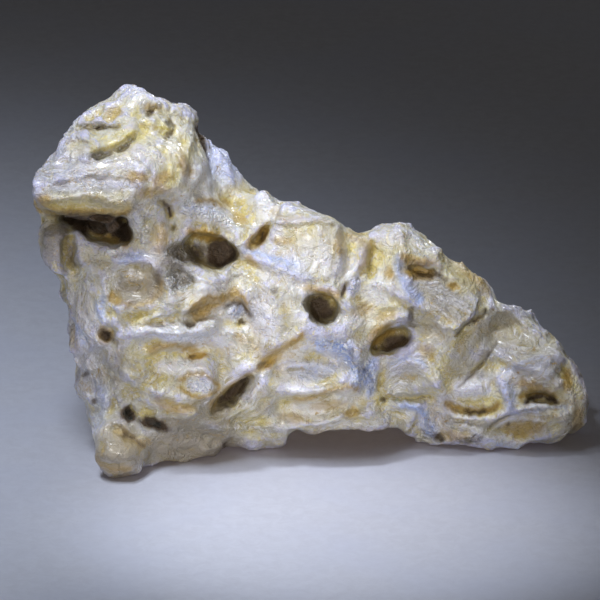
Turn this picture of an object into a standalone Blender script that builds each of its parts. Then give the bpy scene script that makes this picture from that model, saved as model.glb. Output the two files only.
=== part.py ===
"""A wind-worn chalcedony viewing stone, 95 mm long, carved out of one solid.

The stone is carved the way it is looked at. Its show side is drawn in a tilted frame, in millimetres:
u runs to the right, v runs up square to the line of sight and w comes out towards the viewer, who looks
down on the stone from FRONT_TILT degrees. Swellings are joined into a rough block in the world frame, the
front outline trims it, and strokes seen from each side flatten facets, raise folds and press hollows.
"""

from math import cos, radians, sin, tau

import bmesh
import bpy
import numpy as np
from mathutils import Euler, Matrix, Vector

MM = 0.001
NAME = "stone"

# Driving dimensions, in millimetres and degrees.
FRONT_TILT = 20.0
FRONT_TO_BACK = 42.0
BASE_CENTRE = (-0.37, 18.81)
ROUGH_GRAIN = 1.0
CARVING_GRAIN = 0.7
HEAVY_SMOOTHING = 10
TRIM_SMOOTHING = 6
LIGHT_SMOOTHING = 2
LUMP_SIZE = 7.0
LUMP_HEIGHT = 1.2
KNOB_SIZE = 3.0
KNOB_HEIGHT = 0.5
TRIANGLES = 9000
DEEPEST_FACET = 2.2
REACH = 14.0
BOLDNESS = 1.5
WANDER = 0.45
WANDER_SIZE = 2.6
WAVES = 9
SEED = 11

# Swellings of the rough block, in the world frame: centre x, y, z, half sizes x, y, z, and turn about Z.
SWELLINGS = {
    "left body": ((-27, 19, 27), (18, 17.5, 24), 0),
    "left base": ((-25, 18, 9), (15, 15.5, 13), 0),
    "left wall": ((-40, 20, 34), (8, 13, 16), -20),
    "head": ((-33, 17, 50), (15.5, 15.5, 11), 0),
    "head top": ((-30, 22, 56), (11, 11, 11), 0),
    "ledge": ((-38, 8, 50), (11, 7.5, 4.5), 0),
    "rear hump": ((-18, 29, 43), (8, 9, 12), 0),
    "middle": ((-4, 21, 20), (19, 17, 22), 0),
    "middle top": ((-4, 22, 32), (14, 15, 14), 0),
    "plateau": ((13, 23, 29), (11.5, 14, 13), 0),
    "right shoulder": ((20, 24, 18), (17, 14.5, 16), 0),
    "right body": ((33, 23, 11), (15, 13, 13), 0),
    "right end": ((40, 20, 8), (9, 9.5, 10), 0),
    "left foot": ((-33, 4.4, 3.4), (6, 7, 6.6), 0),
    "right base": ((29, 22, 4.5), (15, 11, 8), 0),
    "belly": ((8, 24.2, 8.2), (19, 15, 9), 0),
    "belly left": ((-14, 21, 6), (16, 11.5, 9), 0),
    "back base": ((2, 26, 8), (36, 14, 14), 0),
}

# The outline of the front, clockwise from the left foot, as (u, v).
OUTLINE = [
    (-34, 0), (-35.6, 1), (-37, 4), (-37.3, 7), (-38, 9.5), (-39.2, 13), (-40.2, 18), (-41.4, 24),
    (-42, 30), (-42.7, 33.4), (-45, 35.8), (-46.4, 39), (-46.8, 42), (-46, 44.6), (-47.2, 46), (-47.6, 48),
    (-46.8, 50.5), (-45.6, 53.5), (-43.5, 56.3), (-40.6, 58.6), (-39.8, 60.6), (-37.5, 62.2), (-34.4, 64),
    (-32.6, 66), (-30.6, 67.1), (-29.2, 65.2), (-26, 65), (-22.5, 63.6), (-20, 61.8), (-19.4, 58.6),
    (-17.6, 57), (-14.6, 54.8), (-13.2, 52.6), (-12, 50.2), (-10.4, 48.8), (-7.9, 48.6), (-6.2, 47),
    (-4, 46.5), (-2, 46.3), (-0.6, 45.2), (2.4, 44.7), (5.6, 42.4), (9, 41.8), (12, 42.8), (15, 43),
    (18.5, 41.4), (21, 39.4), (24.5, 37.2), (28, 33.8), (30.6, 31.6), (32, 29.6), (34.6, 29.2), (36.8, 28.4),
    (38.4, 25.8), (40.4, 24), (43.6, 20.2), (46, 17.4), (47.2, 14.4), (47.2, 11), (46, 8.2), (42.5, 6.8),
    (39, 4.8), (36.5, 3.6), (33, 3.8), (29, 3.6), (24, 3.4), (20.4, 3.6), (17.8, 5.4), (15.6, 7.4),
    (12.4, 7.5), (9.6, 6.8), (6.4, 7.5), (3.8, 7.6), (-0.6, 6.4), (-3, 7.5), (-4.4, 6.4), (-6.4, 4.2),
    (-10.4, 3.4), (-15, 2.8), (-20, 2.4), (-25.6, 2.2), (-28.2, 1.6), (-31, 0.4),
]

# The sides of the stone that are carved, with the azimuth and the tilt they are looked at from.
SIDES = {"top": (0, 90), "back": (180, 0), "right": (90, 0), "left": (-90, 0), "show": (0, FRONT_TILT)}

# Flat facets of the show side: u, v, half width, half height, turn, slope along u, slope along v, and lift.
FACETS = {
    "block face": (-0.8, 39.6, 7.4, 5.6, -8, 0.05, 0.1, 1.4),
    "plateau face": (12.6, 38.0, 4.2, 5.2, 0, 0.2, 0.1, 0.0),
    "shoulder face": (20.6, 31.4, 8.6, 5.0, -38, -0.35, -0.3, 0.5),
    "beige slope": (35.6, 22.4, 7.6, 4.4, -30, -0.15, -0.9, 0.2),
    "ledge top": (-38.8, 50.4, 8.0, 3.0, 6, 0.1, -1.0, 0.6),
    "head left": (-41.2, 55.6, 5.0, 3.4, 38, 1.0, -0.9, 0.0),
    "head right": (-23.4, 60.2, 4.0, 3.6, -30, -0.9, -0.6, 0.0),
    "cheek": (-24.6, 52.0, 4.0, 4.0, -30, -0.7, 0.1, 1.2),
    "left side above": (-38.4, 29.0, 4.4, 7.5, 4, 1.5, 0.3, 0.0),
    "left side below": (-37.0, 16.0, 4.4, 7.0, 4, 1.4, 0.2, 0.0),
    "flat under the wave": (-23.0, 17.4, 6.5, 4.5, 0, 0.0, 0.4, 0.2),
    "apron": (0.6, 16.5, 7.5, 4.5, -6, -0.1, -0.1, 0.3),
}

# Hollows pressed into the show side: u, v, half width, half height, turn, depth, wall, lean.
# The wall is the share of the half sizes that slopes down, from 0.2, steep, to 1, a dish. The lean is how far
# up the hollow's floor lies, behind its upper lip. A negative depth is a swelling.
HOLLOWS = {
    "cave under the ledge": (-36.8, 42.2, 7.2, 3.0, -5, 12.0, 0.2, 0.8),
    "gully beside the cave": (-41.6, 39.4, 1.9, 5.6, 8, 4.0, 0.5, 0),
    "under the ledge tip": (-44.6, 43.4, 3.4, 1.3, 4, 3.0, 0.4, 0.6),
    "second cave": (-17.0, 38.2, 5.3, 3.8, -14, 9.0, 0.22, 0.6),
    "shallow end of the second cave": (-23.0, 37.8, 3.4, 2.4, 10, 4.5, 0.4, 0),
    "eye socket": (-31.0, 33.2, 4.8, 3.9, -10, 2.4, 0.4, 0),
    "eyeball": (-30.8, 33.8, 3.7, 2.7, -5, -1.8, 1.0, 0),
    "crystal pocket": (-22.6, 33.0, 3.2, 2.2, -12, 3.4, 0.35, 0.5),
    "arched pocket": (-15.4, 28.1, 5.4, 2.6, 14, 3.6, 0.35, 0.6),
    "crystal knob": (-13.6, 28.0, 2.4, 2.1, 0, -2.8, 0.9, 0),
    "round hole": (1.4, 28.9, 3.4, 2.6, -14, 9.0, 0.18, 0.8),
    "slot by the block": (-8.6, 41.3, 3.2, 1.0, 58, 4.0, 0.4, 0),
    "furrow by the block": (9.2, 37.4, 1.1, 4.6, 4, 2.2, 0.6, 0),
    "gap under the block": (5.4, 32.0, 0.9, 1.4, -25, 2.6, 0.5, 0),
    "bead": (7.3, 32.5, 1.6, 1.5, 0, -1.4, 0.9, 0),
    "ring hollow": (-19.5, 15.4, 3.7, 2.2, 10, 1.0, 0.6, 0),
    "slanting slot": (-13.4, 14.6, 5.7, 1.35, 42, 6.0, 0.35, 0.8),
    "foot knob": (-33.4, 4.4, 4.2, 3.8, 0, -1.6, 0.8, 0),
    "crescent in the foot": (-31.5, 7.4, 3.0, 1.0, -46, 2.4, 0.5, 0),
    "almond hole": (13.3, 23.0, 4.2, 1.75, 24, 6.5, 0.25, 0.6),
    "amber hole": (18.4, 35.1, 2.6, 1.2, -12, 3.6, 0.35, 0.4),
    "dome": (27.0, 14.9, 3.4, 2.5, 0, -1.6, 0.9, 0),
    "crescent under the dome": (27.6, 11.7, 4.3, 1.1, 0, 2.2, 0.6, 0.3),
    "mouth": (38.6, 13.0, 3.9, 1.2, -6, 3.6, 0.35, 0.4),
    "swirl crease": (17.0, 13.7, 3.0, 0.9, 0, 2.0, 0.6, 0),
    "swirl nick": (11.6, 15.9, 1.0, 1.7, -12, 2.0, 0.6, 0),
    "slit in the head": (-36.4, 59.2, 3.5, 1.1, 2, 1.9, 0.5, 0.5),
    "slit by the pillar": (-25.1, 45.0, 0.7, 2.0, 5, 3.0, 0.6, 0),
    "pit in the left side": (-35.8, 24.5, 1.6, 1.5, 0, 2.4, 0.5, 0),
    "black pit": (-30.8, 11.3, 1.4, 1.2, 0, 2.0, 0.5, 0),
    "black streak": (-27.0, 9.0, 2.6, 1.0, -30, 1.6, 0.6, 0),
    "lower shadow": (-21.0, 6.6, 9.0, 3.4, -3, 2.0, 0.9, 0),
    "behind the head": (-18.7, 56.5, 1.1, 5.0, 14, 3.5, 0.8, 0),
}

# Folds along the show side: points (u, v), half width, height, and depth of the furrow on the right hand.
FOLDS = {
    "ledge rim": ([(-48.4, 46.6), (-43, 45.4), (-38, 45.8), (-33, 45.6), (-28.6, 47)], 2.2, 2.6, 0),
    "brow of the ledge": ([(-46, 51.5), (-41, 52), (-36, 53.2), (-31, 53.4), (-26.5, 54.6)], 1.5, 0.9, 0.9),
    "yellow band": ([(-38.4, 56.0), (-33, 57), (-29.2, 59)], 1.2, 1.3, 1.3),
    "white tongue": ([(-29, 61.2), (-24.6, 59.8), (-21.4, 57.8)], 1.2, 1.0, 0.9),
    "cheek fold": ([(-24.6, 58.6), (-22.9, 54.8), (-20.2, 50.6)], 1.2, 1.1, 0.9),
    "horn": ([(-34.5, 61), (-31.4, 63), (-30.4, 65.6)], 1.4, 0.8, 0.4),
    "pillar": ([(-27.6, 45.6), (-26.6, 42.2), (-27.6, 38.6)], 1.5, 1.4, 0),
    "band over the second cave": (
        [(-24.4, 45.6), (-20, 45.6), (-15.6, 44.2), (-12.4, 41.6), (-11.3, 37.6)], 1.8, 1.5, 0),
    "socket brow": ([(-36, 35.4), (-31.4, 37.6), (-27, 35.4), (-25.4, 31.4)], 1.3, 1.0, 0.2),
    "socket floor": ([(-35.4, 32.4), (-32.6, 29.6), (-27.6, 29.6)], 1.3, 0.9, 0.4),
    "shelf": ([(-26, 30.6), (-22, 30.4), (-18.6, 32.2), (-12.6, 33.4)], 1.2, 1.1, 0.6),
    "arch": ([(-21.4, 25.6), (-18.6, 29.8), (-14.6, 31.6), (-11, 30), (-9.2, 26.8)], 1.2, 1.0, 0),
    "web": ([(-13.2, 32.8), (-10.4, 29.4), (-8.2, 25.4), (-8.8, 21.4)], 2.0, 1.2, 0.3),
    "streaks": ([(-12.4, 38), (-8, 36.4), (-3, 34.6), (0, 32.8)], 1.5, 0.7, 0.8),
    "hole brow": ([(-2.4, 29.4), (-0.6, 32), (2.6, 32.4), (5.2, 30.2)], 1.3, 1.4, 0),
    "hole floor": ([(-2.2, 27.8), (0.6, 26.0), (4.6, 25.2), (6.6, 27.6)], 1.2, 0.9, 0.2),
    "block edge": ([(6.2, 43), (7.6, 39.4), (6.8, 35.4), (4.4, 32.6)], 1.4, 1.4, 0),
    "white wave": ([(-32, 23.4), (-28, 24.6), (-23, 23.6), (-18, 24), (-13.4, 22)], 1.8, 1.3, 1.7),
    "lip of the slanting slot": ([(-18.8, 12.4), (-14.4, 17), (-9.2, 20.4)], 1.6, 1.5, 0),
    "far side of the slot": ([(-15.6, 10.4), (-11.4, 13), (-7.4, 17)], 1.2, 0.8, 0.4),
    "honey lip": ([(-9.6, 21.6), (-5, 23), (-0.4, 25.4)], 1.3, 1.1, 1.6),
    "lower lip": ([(-30, 13.8), (-25.4, 12.4), (-20, 10.6), (-16, 8)], 1.8, 1.0, 1.6),
    "plates": ([(-6, 18.4), (-1, 19.4), (3.4, 18.4), (6.4, 15.8)], 1.2, 0.9, 0.9),
    "apron folds": ([(-5.6, 13.6), (0, 14.6), (4, 15.6), (7.6, 15.2)], 1.2, 0.9, 1.0),
    "apron hem": ([(-6, 9.8), (0, 9.2), (6.4, 10.6), (12, 10)], 1.3, 0.8, 0.5),
    "almond brow": ([(9.4, 21.4), (11.4, 24.8), (14.4, 26.2), (18, 25.6)], 1.2, 1.2, 0),
    "amber hole brow": ([(14.2, 36.2), (18, 37.5), (22.4, 35.6)], 1.2, 1.1, 0),
    "fibres": ([(14.2, 39), (15.4, 34), (16.6, 28.6)], 1.2, 0.8, 0.5),
    "boundary": ([(18.6, 29.2), (22.6, 27.2), (23.6, 24.4)], 1.0, 0.5, 0.9),
    "shoulder edge": ([(23.4, 23.6), (26.3, 25.6), (28.6, 27.2), (30.4, 29.4)], 1.4, 1.2, 2.0),
    "second crack": ([(24.4, 15.0), (27.4, 17.8), (28.8, 20), (31, 24)], 1.3, 0.5, 1.4),
    "swirl": ([(12.8, 17), (16, 18.9), (19.8, 17.4), (21, 14.4)], 1.2, 1.1, 0.9),
    "fibre bundle": ([(14.2, 13), (18, 10.6), (21.6, 6.4)], 1.5, 1.2, 0.6),
    "fork": ([(31.2, 17.4), (33, 13.6), (33, 11)], 1.1, 1.0, 0.3),
    "leaf top": ([(29.4, 8.6), (33, 10.9), (38, 10.7), (42, 9.7), (45.4, 11.6)], 1.1, 1.0, 0.8),
    "leaf hem": ([(29, 5.2), (35, 5.4), (40, 6.8), (44.6, 9)], 1.1, 0.7, 0.3),
    "mouth rim": ([(34.6, 15), (39.6, 16.4), (43.8, 14.6), (44.6, 11.4)], 1.2, 0.9, 0.2),
    "slope ridge": ([(32.4, 16.8), (38, 19.2), (41, 20.8), (46, 17.4)], 1.3, 0.8, 0.5),
}

# The same three kinds of stroke on the other sides, as they are seen square on, with u to the right there.
MORE_FACETS = {
    "back": {"flank": (28, 24, 9, 6, 10, 0.1, 0.3, 0), "wing": (-22, 14, 9, 6, -20, -0.2, -0.6, 0)},
    "left": {"cheek": (-20, 52, 7, 4, -20, 0.1, -0.6, 0)},
}
MORE_HOLLOWS = {
    "left": {
        "dip": (-27, 34, 4, 5.5, 10, 4, 0.5, 0.6), "cleft": (-15, 20, 2, 6, 15, 3, 0.5, 0),
        "pit": (-30, 14, 3, 2.4, 0, 3, 0.5, 0), "under the ledge": (-9, 42.5, 6, 2.4, 0, 4, 0.4, 0.8)},
    "right": {"pit": (24, 10, 4, 3, 0, 2.5, 0.6, 0)},
    "back": {
        "high scoop": (26, 41, 7, 5, 20, 5, 0.5, 1), "hole": (10, 26, 4, 3, -15, 6, 0.35, 0.6),
        "wide scoop": (-12, 18, 8, 5, -20, 4, 0.7, 0), "slot": (-28, 11, 5, 1.6, -18, 4, 0.4, 0.4),
        "pit": (34, 20, 3, 3.6, 0, 4, 0.5, 0), "cleft": (20, 12, 6, 2, 25, 3.5, 0.5, 0.5),
        "nick": (2, 10, 3, 2, 0, 3, 0.5, 0), "pit in the head": (33, 54, 3, 2, 10, 2.5, 0.5, 0)},
    "top": {
        "saddle": (4, 29, 5, 4, 20, 2.5, 0.7, 0), "shoulder dip": (22, 30, 4, 3, 0, 2.5, 0.7, 0),
        "tail dip": (34, 31, 3.5, 3, 0, 2, 0.7, 0), "crown dip": (-27, 30, 4, 3, 0, 2, 0.7, 0),
        "neck": (-9, 32, 3, 4, 0, 2.5, 0.7, 0)},
}
MORE_FOLDS = {
    "left": {
        "brow": ([(-36, 44), (-26, 47), (-14, 45), (-4, 47)], 1.8, 1.0, 0.8),
        "belt": ([(-36, 26), (-24, 24), (-12, 28)], 1.8, 0.9, 0.8),
        "hem": ([(-32, 8), (-22, 12), (-10, 9)], 1.8, 0.9, 0.7)},
    "back": {
        "brow": ([(44, 46), (34, 46), (24, 50), (16, 46)], 2.0, 1.1, 0.9),
        "belt": ([(40, 32), (28, 30), (16, 34), (6, 40)], 2.0, 1.1, 0.9),
        "arm": ([(8, 18), (-4, 26), (-16, 28), (-30, 22)], 1.8, 1.0, 0.8),
        "hem": ([(38, 10), (26, 8), (12, 16), (0, 14)], 1.8, 1.0, 0.8),
        "tail": ([(-8, 8), (-20, 10), (-34, 16), (-42, 12)], 1.6, 0.9, 0.7)},
    "top": {
        "crown": ([(-38, 29), (-30, 34), (-20, 30)], 1.8, 0.8, 0.8),
        "neck": ([(-8, 38), (-2, 29), (-6, 19)], 1.8, 0.9, 0.9),
        "plateau": ([(14, 38), (11, 29), (17, 19)], 1.8, 0.9, 0.9),
        "shoulder": ([(26, 36), (31, 28), (29, 20)], 1.8, 0.9, 0.9),
        "tail": ([(40, 34), (37, 25), (43, 16)], 1.8, 0.8, 0.8)},
}

# The hollow under the stone: centre x, y, z and half sizes.
ARCH = ((6, 20, -0.5), (12.5, 9, 8.5))


def frame_of(side):
    """The turn from a side's own (u, v, w) frame, where w comes out at the viewer, into the world frame."""
    azimuth, tilt = SIDES[side]
    return Matrix.Rotation(radians(azimuth), 4, "Z") @ Matrix.Rotation(radians(90 - tilt), 4, "X")


def clear_scene():
    for obj in list(bpy.data.objects):
        bpy.data.objects.remove(obj)


def new_object(name, mesh, collection):
    obj = bpy.data.objects.new(name, mesh)
    collection.objects.link(obj)
    return obj


def bake(obj):
    """Puts what the modifiers make into the object's own mesh, and drops the modifiers."""
    graph = bpy.context.evaluated_depsgraph_get()
    baked = bpy.data.meshes.new_from_object(obj.evaluated_get(graph))
    obj.modifiers.clear()
    obj.data = baked


def regrain(obj, grain, smoothing):
    """Remeshes to an even grain and softens the result."""
    remesh = obj.modifiers.new("grain", "REMESH")
    remesh.mode = "VOXEL"
    remesh.voxel_size = grain
    smooth = obj.modifiers.new("soften", "SMOOTH")
    smooth.factor = 0.5
    smooth.iterations = smoothing
    bake(obj)


def ball_mesh(name, balls):
    """One mesh of overlapping balls, each given as centre, half sizes and turn about Z."""
    bm = bmesh.new()
    for centre, half_sizes, turn in balls:
        place = Matrix.LocRotScale(Vector(centre), Euler((0, 0, radians(turn))), Vector(half_sizes))
        bmesh.ops.create_icosphere(bm, subdivisions=4, radius=1, matrix=place)
    mesh = bpy.data.meshes.new(name)
    bm.to_mesh(mesh)
    bm.free()
    return mesh


def as_cutter(name, mesh, collection):
    cutter = new_object(name, mesh, collection)
    cutter.hide_render = True
    cutter.display_type = "WIRE"
    return cutter


def arch_cutter(collection):
    return as_cutter("arch_cutter", ball_mesh("arch", [(*ARCH, 0)]), collection)


def outline_cutter(collection):
    """The front outline, drawn as a smooth closed curve and extruded right through the stone."""
    curve = bpy.data.curves.new("outline", "CURVE")
    curve.dimensions = "2D"
    curve.fill_mode = "BOTH"
    curve.extrude = 2 * FRONT_TO_BACK
    curve.resolution_u = 4
    spline = curve.splines.new("BEZIER")
    spline.bezier_points.add(len(OUTLINE) - 1)
    for point, (u, v) in zip(spline.bezier_points, OUTLINE):
        point.co = (u, v, 0)
        point.handle_left_type = point.handle_right_type = "AUTO"
    spline.use_cyclic_u = True
    drawn = new_object("outline_curve", curve, collection)
    graph = bpy.context.evaluated_depsgraph_get()
    mesh = bpy.data.meshes.new_from_object(drawn.evaluated_get(graph))
    bpy.data.objects.remove(drawn)
    bm = bmesh.new()
    bm.from_mesh(mesh)
    bmesh.ops.remove_doubles(bm, verts=bm.verts, dist=0.001)
    bmesh.ops.recalc_face_normals(bm, faces=bm.faces)
    bm.transform(frame_of("show"))
    bm.to_mesh(mesh)
    bm.free()
    return as_cutter("outline_cutter", mesh, collection)


def trim(stone, cutter, operation):
    boolean = stone.modifiers.new("trim", "BOOLEAN")
    boolean.solver = "EXACT"
    boolean.operation = operation
    boolean.object = cutter
    bake(stone)


def ease(t):
    t = np.clip(t, 0, 1)
    return t * t * (3 - 2 * t)


def wandering(points):
    """The points as the strokes see them: shifted about a little, so that no stroke's edge runs true."""
    rng = np.random.default_rng(SEED)
    shifted = points.copy()
    for _ in range(WAVES):
        wave = np.sin(points @ rng.normal(0, 1 / WANDER_SIZE, 3) + rng.uniform(0, tau))
        shifted += WANDER * wave[:, None] * rng.normal(0, 2 / WAVES**0.5, 3)
    return shifted


def in_oval(points, u, v, half_width, half_height, turn, power=2):
    """How far out in the oval each point lies, 1 on its rim. A high power squares the oval."""
    du = points[:, 0] - u
    dv = points[:, 1] - v
    c, s = cos(radians(turn)), sin(radians(turn))
    across = np.abs(du * c + dv * s) / half_width
    up = np.abs(dv * c - du * s) / half_height
    return (across**power + up**power) ** (1 / power)


def on_top(points, share):
    """Leaves out of a stroke's share whatever lies far behind the nearest of it."""
    nearest = points[share > 0.3, 2].max(initial=-REACH)
    return share * ease((points[:, 2] - nearest + REACH) / 3)


def flatten(points, seen, facing, facet):
    """Draws the points of one oval on to a sloping plane."""
    u, v, half_width, half_height, turn, slope_u, slope_v, lift = facet
    share = (1 - ease((in_oval(seen, u, v, half_width, half_height, turn, 4) - 0.75) / 0.25)) * facing
    share = on_top(points, share)
    plane = slope_u * (points[:, 0] - u) + slope_v * (points[:, 1] - v)
    level = np.average(points[:, 2] - plane, weights=share)
    move = level + plane + lift - points[:, 2]
    points[:, 2] += share * np.clip(move, -DEEPEST_FACET, DEEPEST_FACET)


def press(points, seen, facing, hollow):
    """Presses one hollow into the points that face the viewer."""
    u, v, half_width, half_height, turn, depth, wall, lean = hollow
    pressed = 1 - ease((in_oval(seen, u, v, half_width, half_height, turn) - 1 + wall) / wall)
    pressed = on_top(points, pressed * facing)
    points[:, 2] -= depth * pressed
    points[:, 1] += lean * pressed


def smooth_path(path, steps=5):
    """The Catmull-Rom curve through the path's points."""
    p = np.array(path, float)
    p = np.vstack([2 * p[0] - p[1], p, 2 * p[-1] - p[-2]])
    t = np.linspace(0, 1, steps, endpoint=False)[:, None]
    spans = [
        0.5 * (2 * b + (c - a) * t + (2 * a - 5 * b + 4 * c - d) * t**2 + (3 * b - a - 3 * c + d) * t**3)
        for a, b, c, d in zip(p, p[1:], p[2:], p[3:])
    ]
    return np.vstack([*spans, p[-2]])


def off_path(points, path):
    """Each point's distance from the path, positive on its left, and how far along it that is, 0 to 1."""
    line = smooth_path(path)
    best = np.full(len(points), np.inf)
    side = np.ones(len(points))
    along = np.zeros(len(points))
    for i, (a, b) in enumerate(zip(line, line[1:])):
        d = b - a
        from_a = points[:, :2] - a
        t = np.clip(from_a @ d / (d @ d), 0, 1)
        away = np.hypot(*(from_a - t[:, None] * d).T)
        nearer = away < best
        best[nearer] = away[nearer]
        side[nearer] = np.sign(d[0] * from_a[nearer, 1] - d[1] * from_a[nearer, 0])
        along[nearer] = (i + t[nearer]) / (len(line) - 1)
    return best * side, along


def fold(points, seen, facing, path, half_width, height, furrow):
    """Raises a ridge along the path, gentle on its left hand, steep on its right, with a furrow beside it."""
    away, along = off_path(seen, path)
    ends = ease(along / 0.15) * ease((1 - along) / 0.15) * facing
    ends = on_top(points, ends * (np.abs(away) < 3 * half_width))
    spread = np.where(away > 0, half_width, 0.5 * half_width)
    points[:, 2] += height * ends * np.exp(-((away / spread) ** 2))
    points[:, 2] -= furrow * ends * np.exp(-((away / half_width + 1.1) ** 2) / 0.36)


def carve(stone, side, facets, hollows, folds):
    """Flattens the facets, raises the folds and presses the hollows of one side."""
    mesh = stone.data
    mesh.transform(frame_of(side).inverted())
    points = np.empty(3 * len(mesh.vertices))
    mesh.vertices.foreach_get("co", points)
    points = points.reshape(-1, 3)
    normals = np.empty(points.size)
    mesh.vertices.foreach_get("normal", normals)
    facing = ease(normals.reshape(-1, 3)[:, 2] / 0.35 + 0.3)
    seen = wandering(points)
    for facet in facets.values():
        flatten(points, seen, facing, facet)
    for path, half_width, height, furrow in folds.values():
        fold(points, seen, facing, path, half_width, BOLDNESS * height, BOLDNESS * furrow)
    for hollow in hollows.values():
        press(points, seen, facing, hollow)
    mesh.vertices.foreach_set("co", points.ravel())
    mesh.transform(frame_of(side))
    mesh.update()


def carve_all_sides(stone):
    for side in ("top", "back", "right", "left"):
        more = (table.get(side, {}) for table in (MORE_FACETS, MORE_HOLLOWS, MORE_FOLDS))
        carve(stone, side, *more)
    carve(stone, "show", FACETS, HOLLOWS, FOLDS)


def weather(stone, name, size, strength):
    """Roughens the whole surface with lumps of one size."""
    lumps = bpy.data.textures.new(name, "MUSGRAVE")
    lumps.musgrave_type = "RIDGED_MULTIFRACTAL"
    lumps.noise_scale = size
    lumps.octaves = 2
    displace = stone.modifiers.new(name, "DISPLACE")
    displace.texture = lumps
    displace.texture_coords = "LOCAL"
    displace.mid_level = 0.9
    displace.strength = strength
    bake(stone)


def stand_on_base(stone):
    """Cuts the underside off flat and puts the middle of the base at the origin."""
    bm = bmesh.new()
    bm.from_mesh(stone.data)
    everything = [*bm.verts, *bm.edges, *bm.faces]
    cut = bmesh.ops.bisect_plane(bm, geom=everything, plane_no=(0, 0, -1), clear_outer=True)
    rim = [e for e in cut["geom_cut"] if isinstance(e, bmesh.types.BMEdge)]
    bmesh.ops.edgeloop_fill(bm, edges=rim)
    bmesh.ops.triangulate(bm, faces=bm.faces)
    bmesh.ops.recalc_face_normals(bm, faces=bm.faces)
    bm.to_mesh(stone.data)
    bm.free()
    cx, cy = BASE_CENTRE
    stone.data.transform(Matrix.Scale(MM, 4) @ Matrix.Translation((-cx, -cy, 0)))


def stone_material():
    material = bpy.data.materials.new("milky chalcedony")
    material.use_nodes = True
    shader = material.node_tree.nodes["Principled BSDF"]
    shader.inputs["Base Color"].default_value = (0.62, 0.56, 0.44, 1)
    shader.inputs["Roughness"].default_value = 0.35
    shader.inputs["Metallic"].default_value = 0
    return material


def main():
    clear_scene()
    parts = bpy.data.collections.new("viewing_stone")
    cutters = bpy.data.collections.new("cutters")
    for collection in (parts, cutters):
        bpy.context.scene.collection.children.link(collection)
    stone = new_object(NAME, ball_mesh("swellings", SWELLINGS.values()), parts)
    regrain(stone, ROUGH_GRAIN, HEAVY_SMOOTHING)
    trim(stone, outline_cutter(cutters), "INTERSECT")
    trim(stone, arch_cutter(cutters), "DIFFERENCE")
    regrain(stone, CARVING_GRAIN, TRIM_SMOOTHING)
    weather(stone, "lumps", LUMP_SIZE, LUMP_HEIGHT)
    regrain(stone, CARVING_GRAIN, LIGHT_SMOOTHING)
    carve_all_sides(stone)
    regrain(stone, CARVING_GRAIN, LIGHT_SMOOTHING)
    weather(stone, "knobs", KNOB_SIZE, KNOB_HEIGHT)
    thin = stone.modifiers.new("thin", "DECIMATE")
    thin.ratio = TRIANGLES / sum(len(face.vertices) - 2 for face in stone.data.polygons)
    bake(stone)
    stand_on_base(stone)
    stone.data.materials.clear()
    stone.data.materials.append(stone_material())
    stone.data.shade_smooth()


main()
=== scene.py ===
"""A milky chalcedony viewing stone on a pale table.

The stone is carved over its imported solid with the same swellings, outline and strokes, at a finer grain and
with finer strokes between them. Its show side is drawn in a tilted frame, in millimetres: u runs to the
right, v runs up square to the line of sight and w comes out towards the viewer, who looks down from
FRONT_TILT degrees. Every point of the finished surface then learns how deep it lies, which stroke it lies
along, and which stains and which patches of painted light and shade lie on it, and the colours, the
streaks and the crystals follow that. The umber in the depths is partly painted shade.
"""

from math import cos, radians, sin, tau

import bmesh
import bpy
import numpy as np
from mathutils import Euler, Matrix, Vector

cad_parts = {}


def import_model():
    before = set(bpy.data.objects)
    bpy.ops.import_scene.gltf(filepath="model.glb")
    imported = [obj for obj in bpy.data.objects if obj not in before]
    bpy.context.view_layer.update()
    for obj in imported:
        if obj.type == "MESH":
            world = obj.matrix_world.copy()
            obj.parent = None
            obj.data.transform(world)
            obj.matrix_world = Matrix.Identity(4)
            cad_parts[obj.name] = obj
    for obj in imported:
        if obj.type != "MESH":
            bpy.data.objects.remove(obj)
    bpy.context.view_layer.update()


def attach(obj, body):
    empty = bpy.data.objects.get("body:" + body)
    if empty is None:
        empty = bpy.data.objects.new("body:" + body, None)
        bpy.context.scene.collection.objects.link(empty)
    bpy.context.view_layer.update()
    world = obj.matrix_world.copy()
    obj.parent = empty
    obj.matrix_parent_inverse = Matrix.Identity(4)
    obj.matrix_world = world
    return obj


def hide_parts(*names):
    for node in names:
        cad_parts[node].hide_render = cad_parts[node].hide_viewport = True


MM = 0.001
SOLID = "stone"
BODY = "root"

# Lengths are in millimetres and angles in degrees.
# The tilt of the show side, the depth of the block, and where its base's centre lies as it is carved.
FRONT_TILT = 20.0
FRONT_TO_BACK = 42.0
BASE_CENTRE = (-0.37, 18.81)

# The grain that the block is remeshed to as it is roughed out, carved and finished, the rounds of smoothing
# that follow, and the most triangles that are left at the end.
ROUGH_GRAIN = 1.0
CARVING_GRAIN = 0.55
FINE_GRAIN = 0.40
HEAVY_SMOOTHING = 10
TRIM_SMOOTHING = 9
LIGHT_SMOOTHING = 2
TRIANGLES = 192000

# Weathering of the whole surface: lumps, knobs and grit.
LUMP_SIZE = 7.0
LUMP_HEIGHT = 1.2
KNOB_SIZE = 2.4
KNOB_HEIGHT = 0.17
GRIT_SIZE = 0.9
GRIT_HEIGHT = 0.05

# Where a stroke takes: it fades as the surface turns away from its side, more slowly for a stain or a patch
# of painted light or shade, and over the last few millimetres of its reach behind the nearest point that lies
# well inside it.
TURNING_AWAY = 0.35
STROKE_MARGIN = 0.3
MARKING_MARGIN = 0.7
REACH = 14.0
MARKING_REACH = 26.0
REACH_FADE = 3
WELL_INSIDE = 0.3

# An oval stain or patch of painted light or shade is whole out to its core and fades over its edge, in half
# sizes of its oval.
MARKING_CORE = 0.55
MARKING_EDGE = 0.75

# Facets have squarish rims, and move the surface only so far.
FACET_SQUARENESS = 4
FACET_RIM = 0.25
DEEPEST_FACET = 2.2

# The dished skirt round a hollow: how many times the hollow's size, and its share of the depth.
SKIRT_REACH = 1.8
SKIRT_SHARE = 0.2
DEEPEST_SKIRT = 1.2

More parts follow.
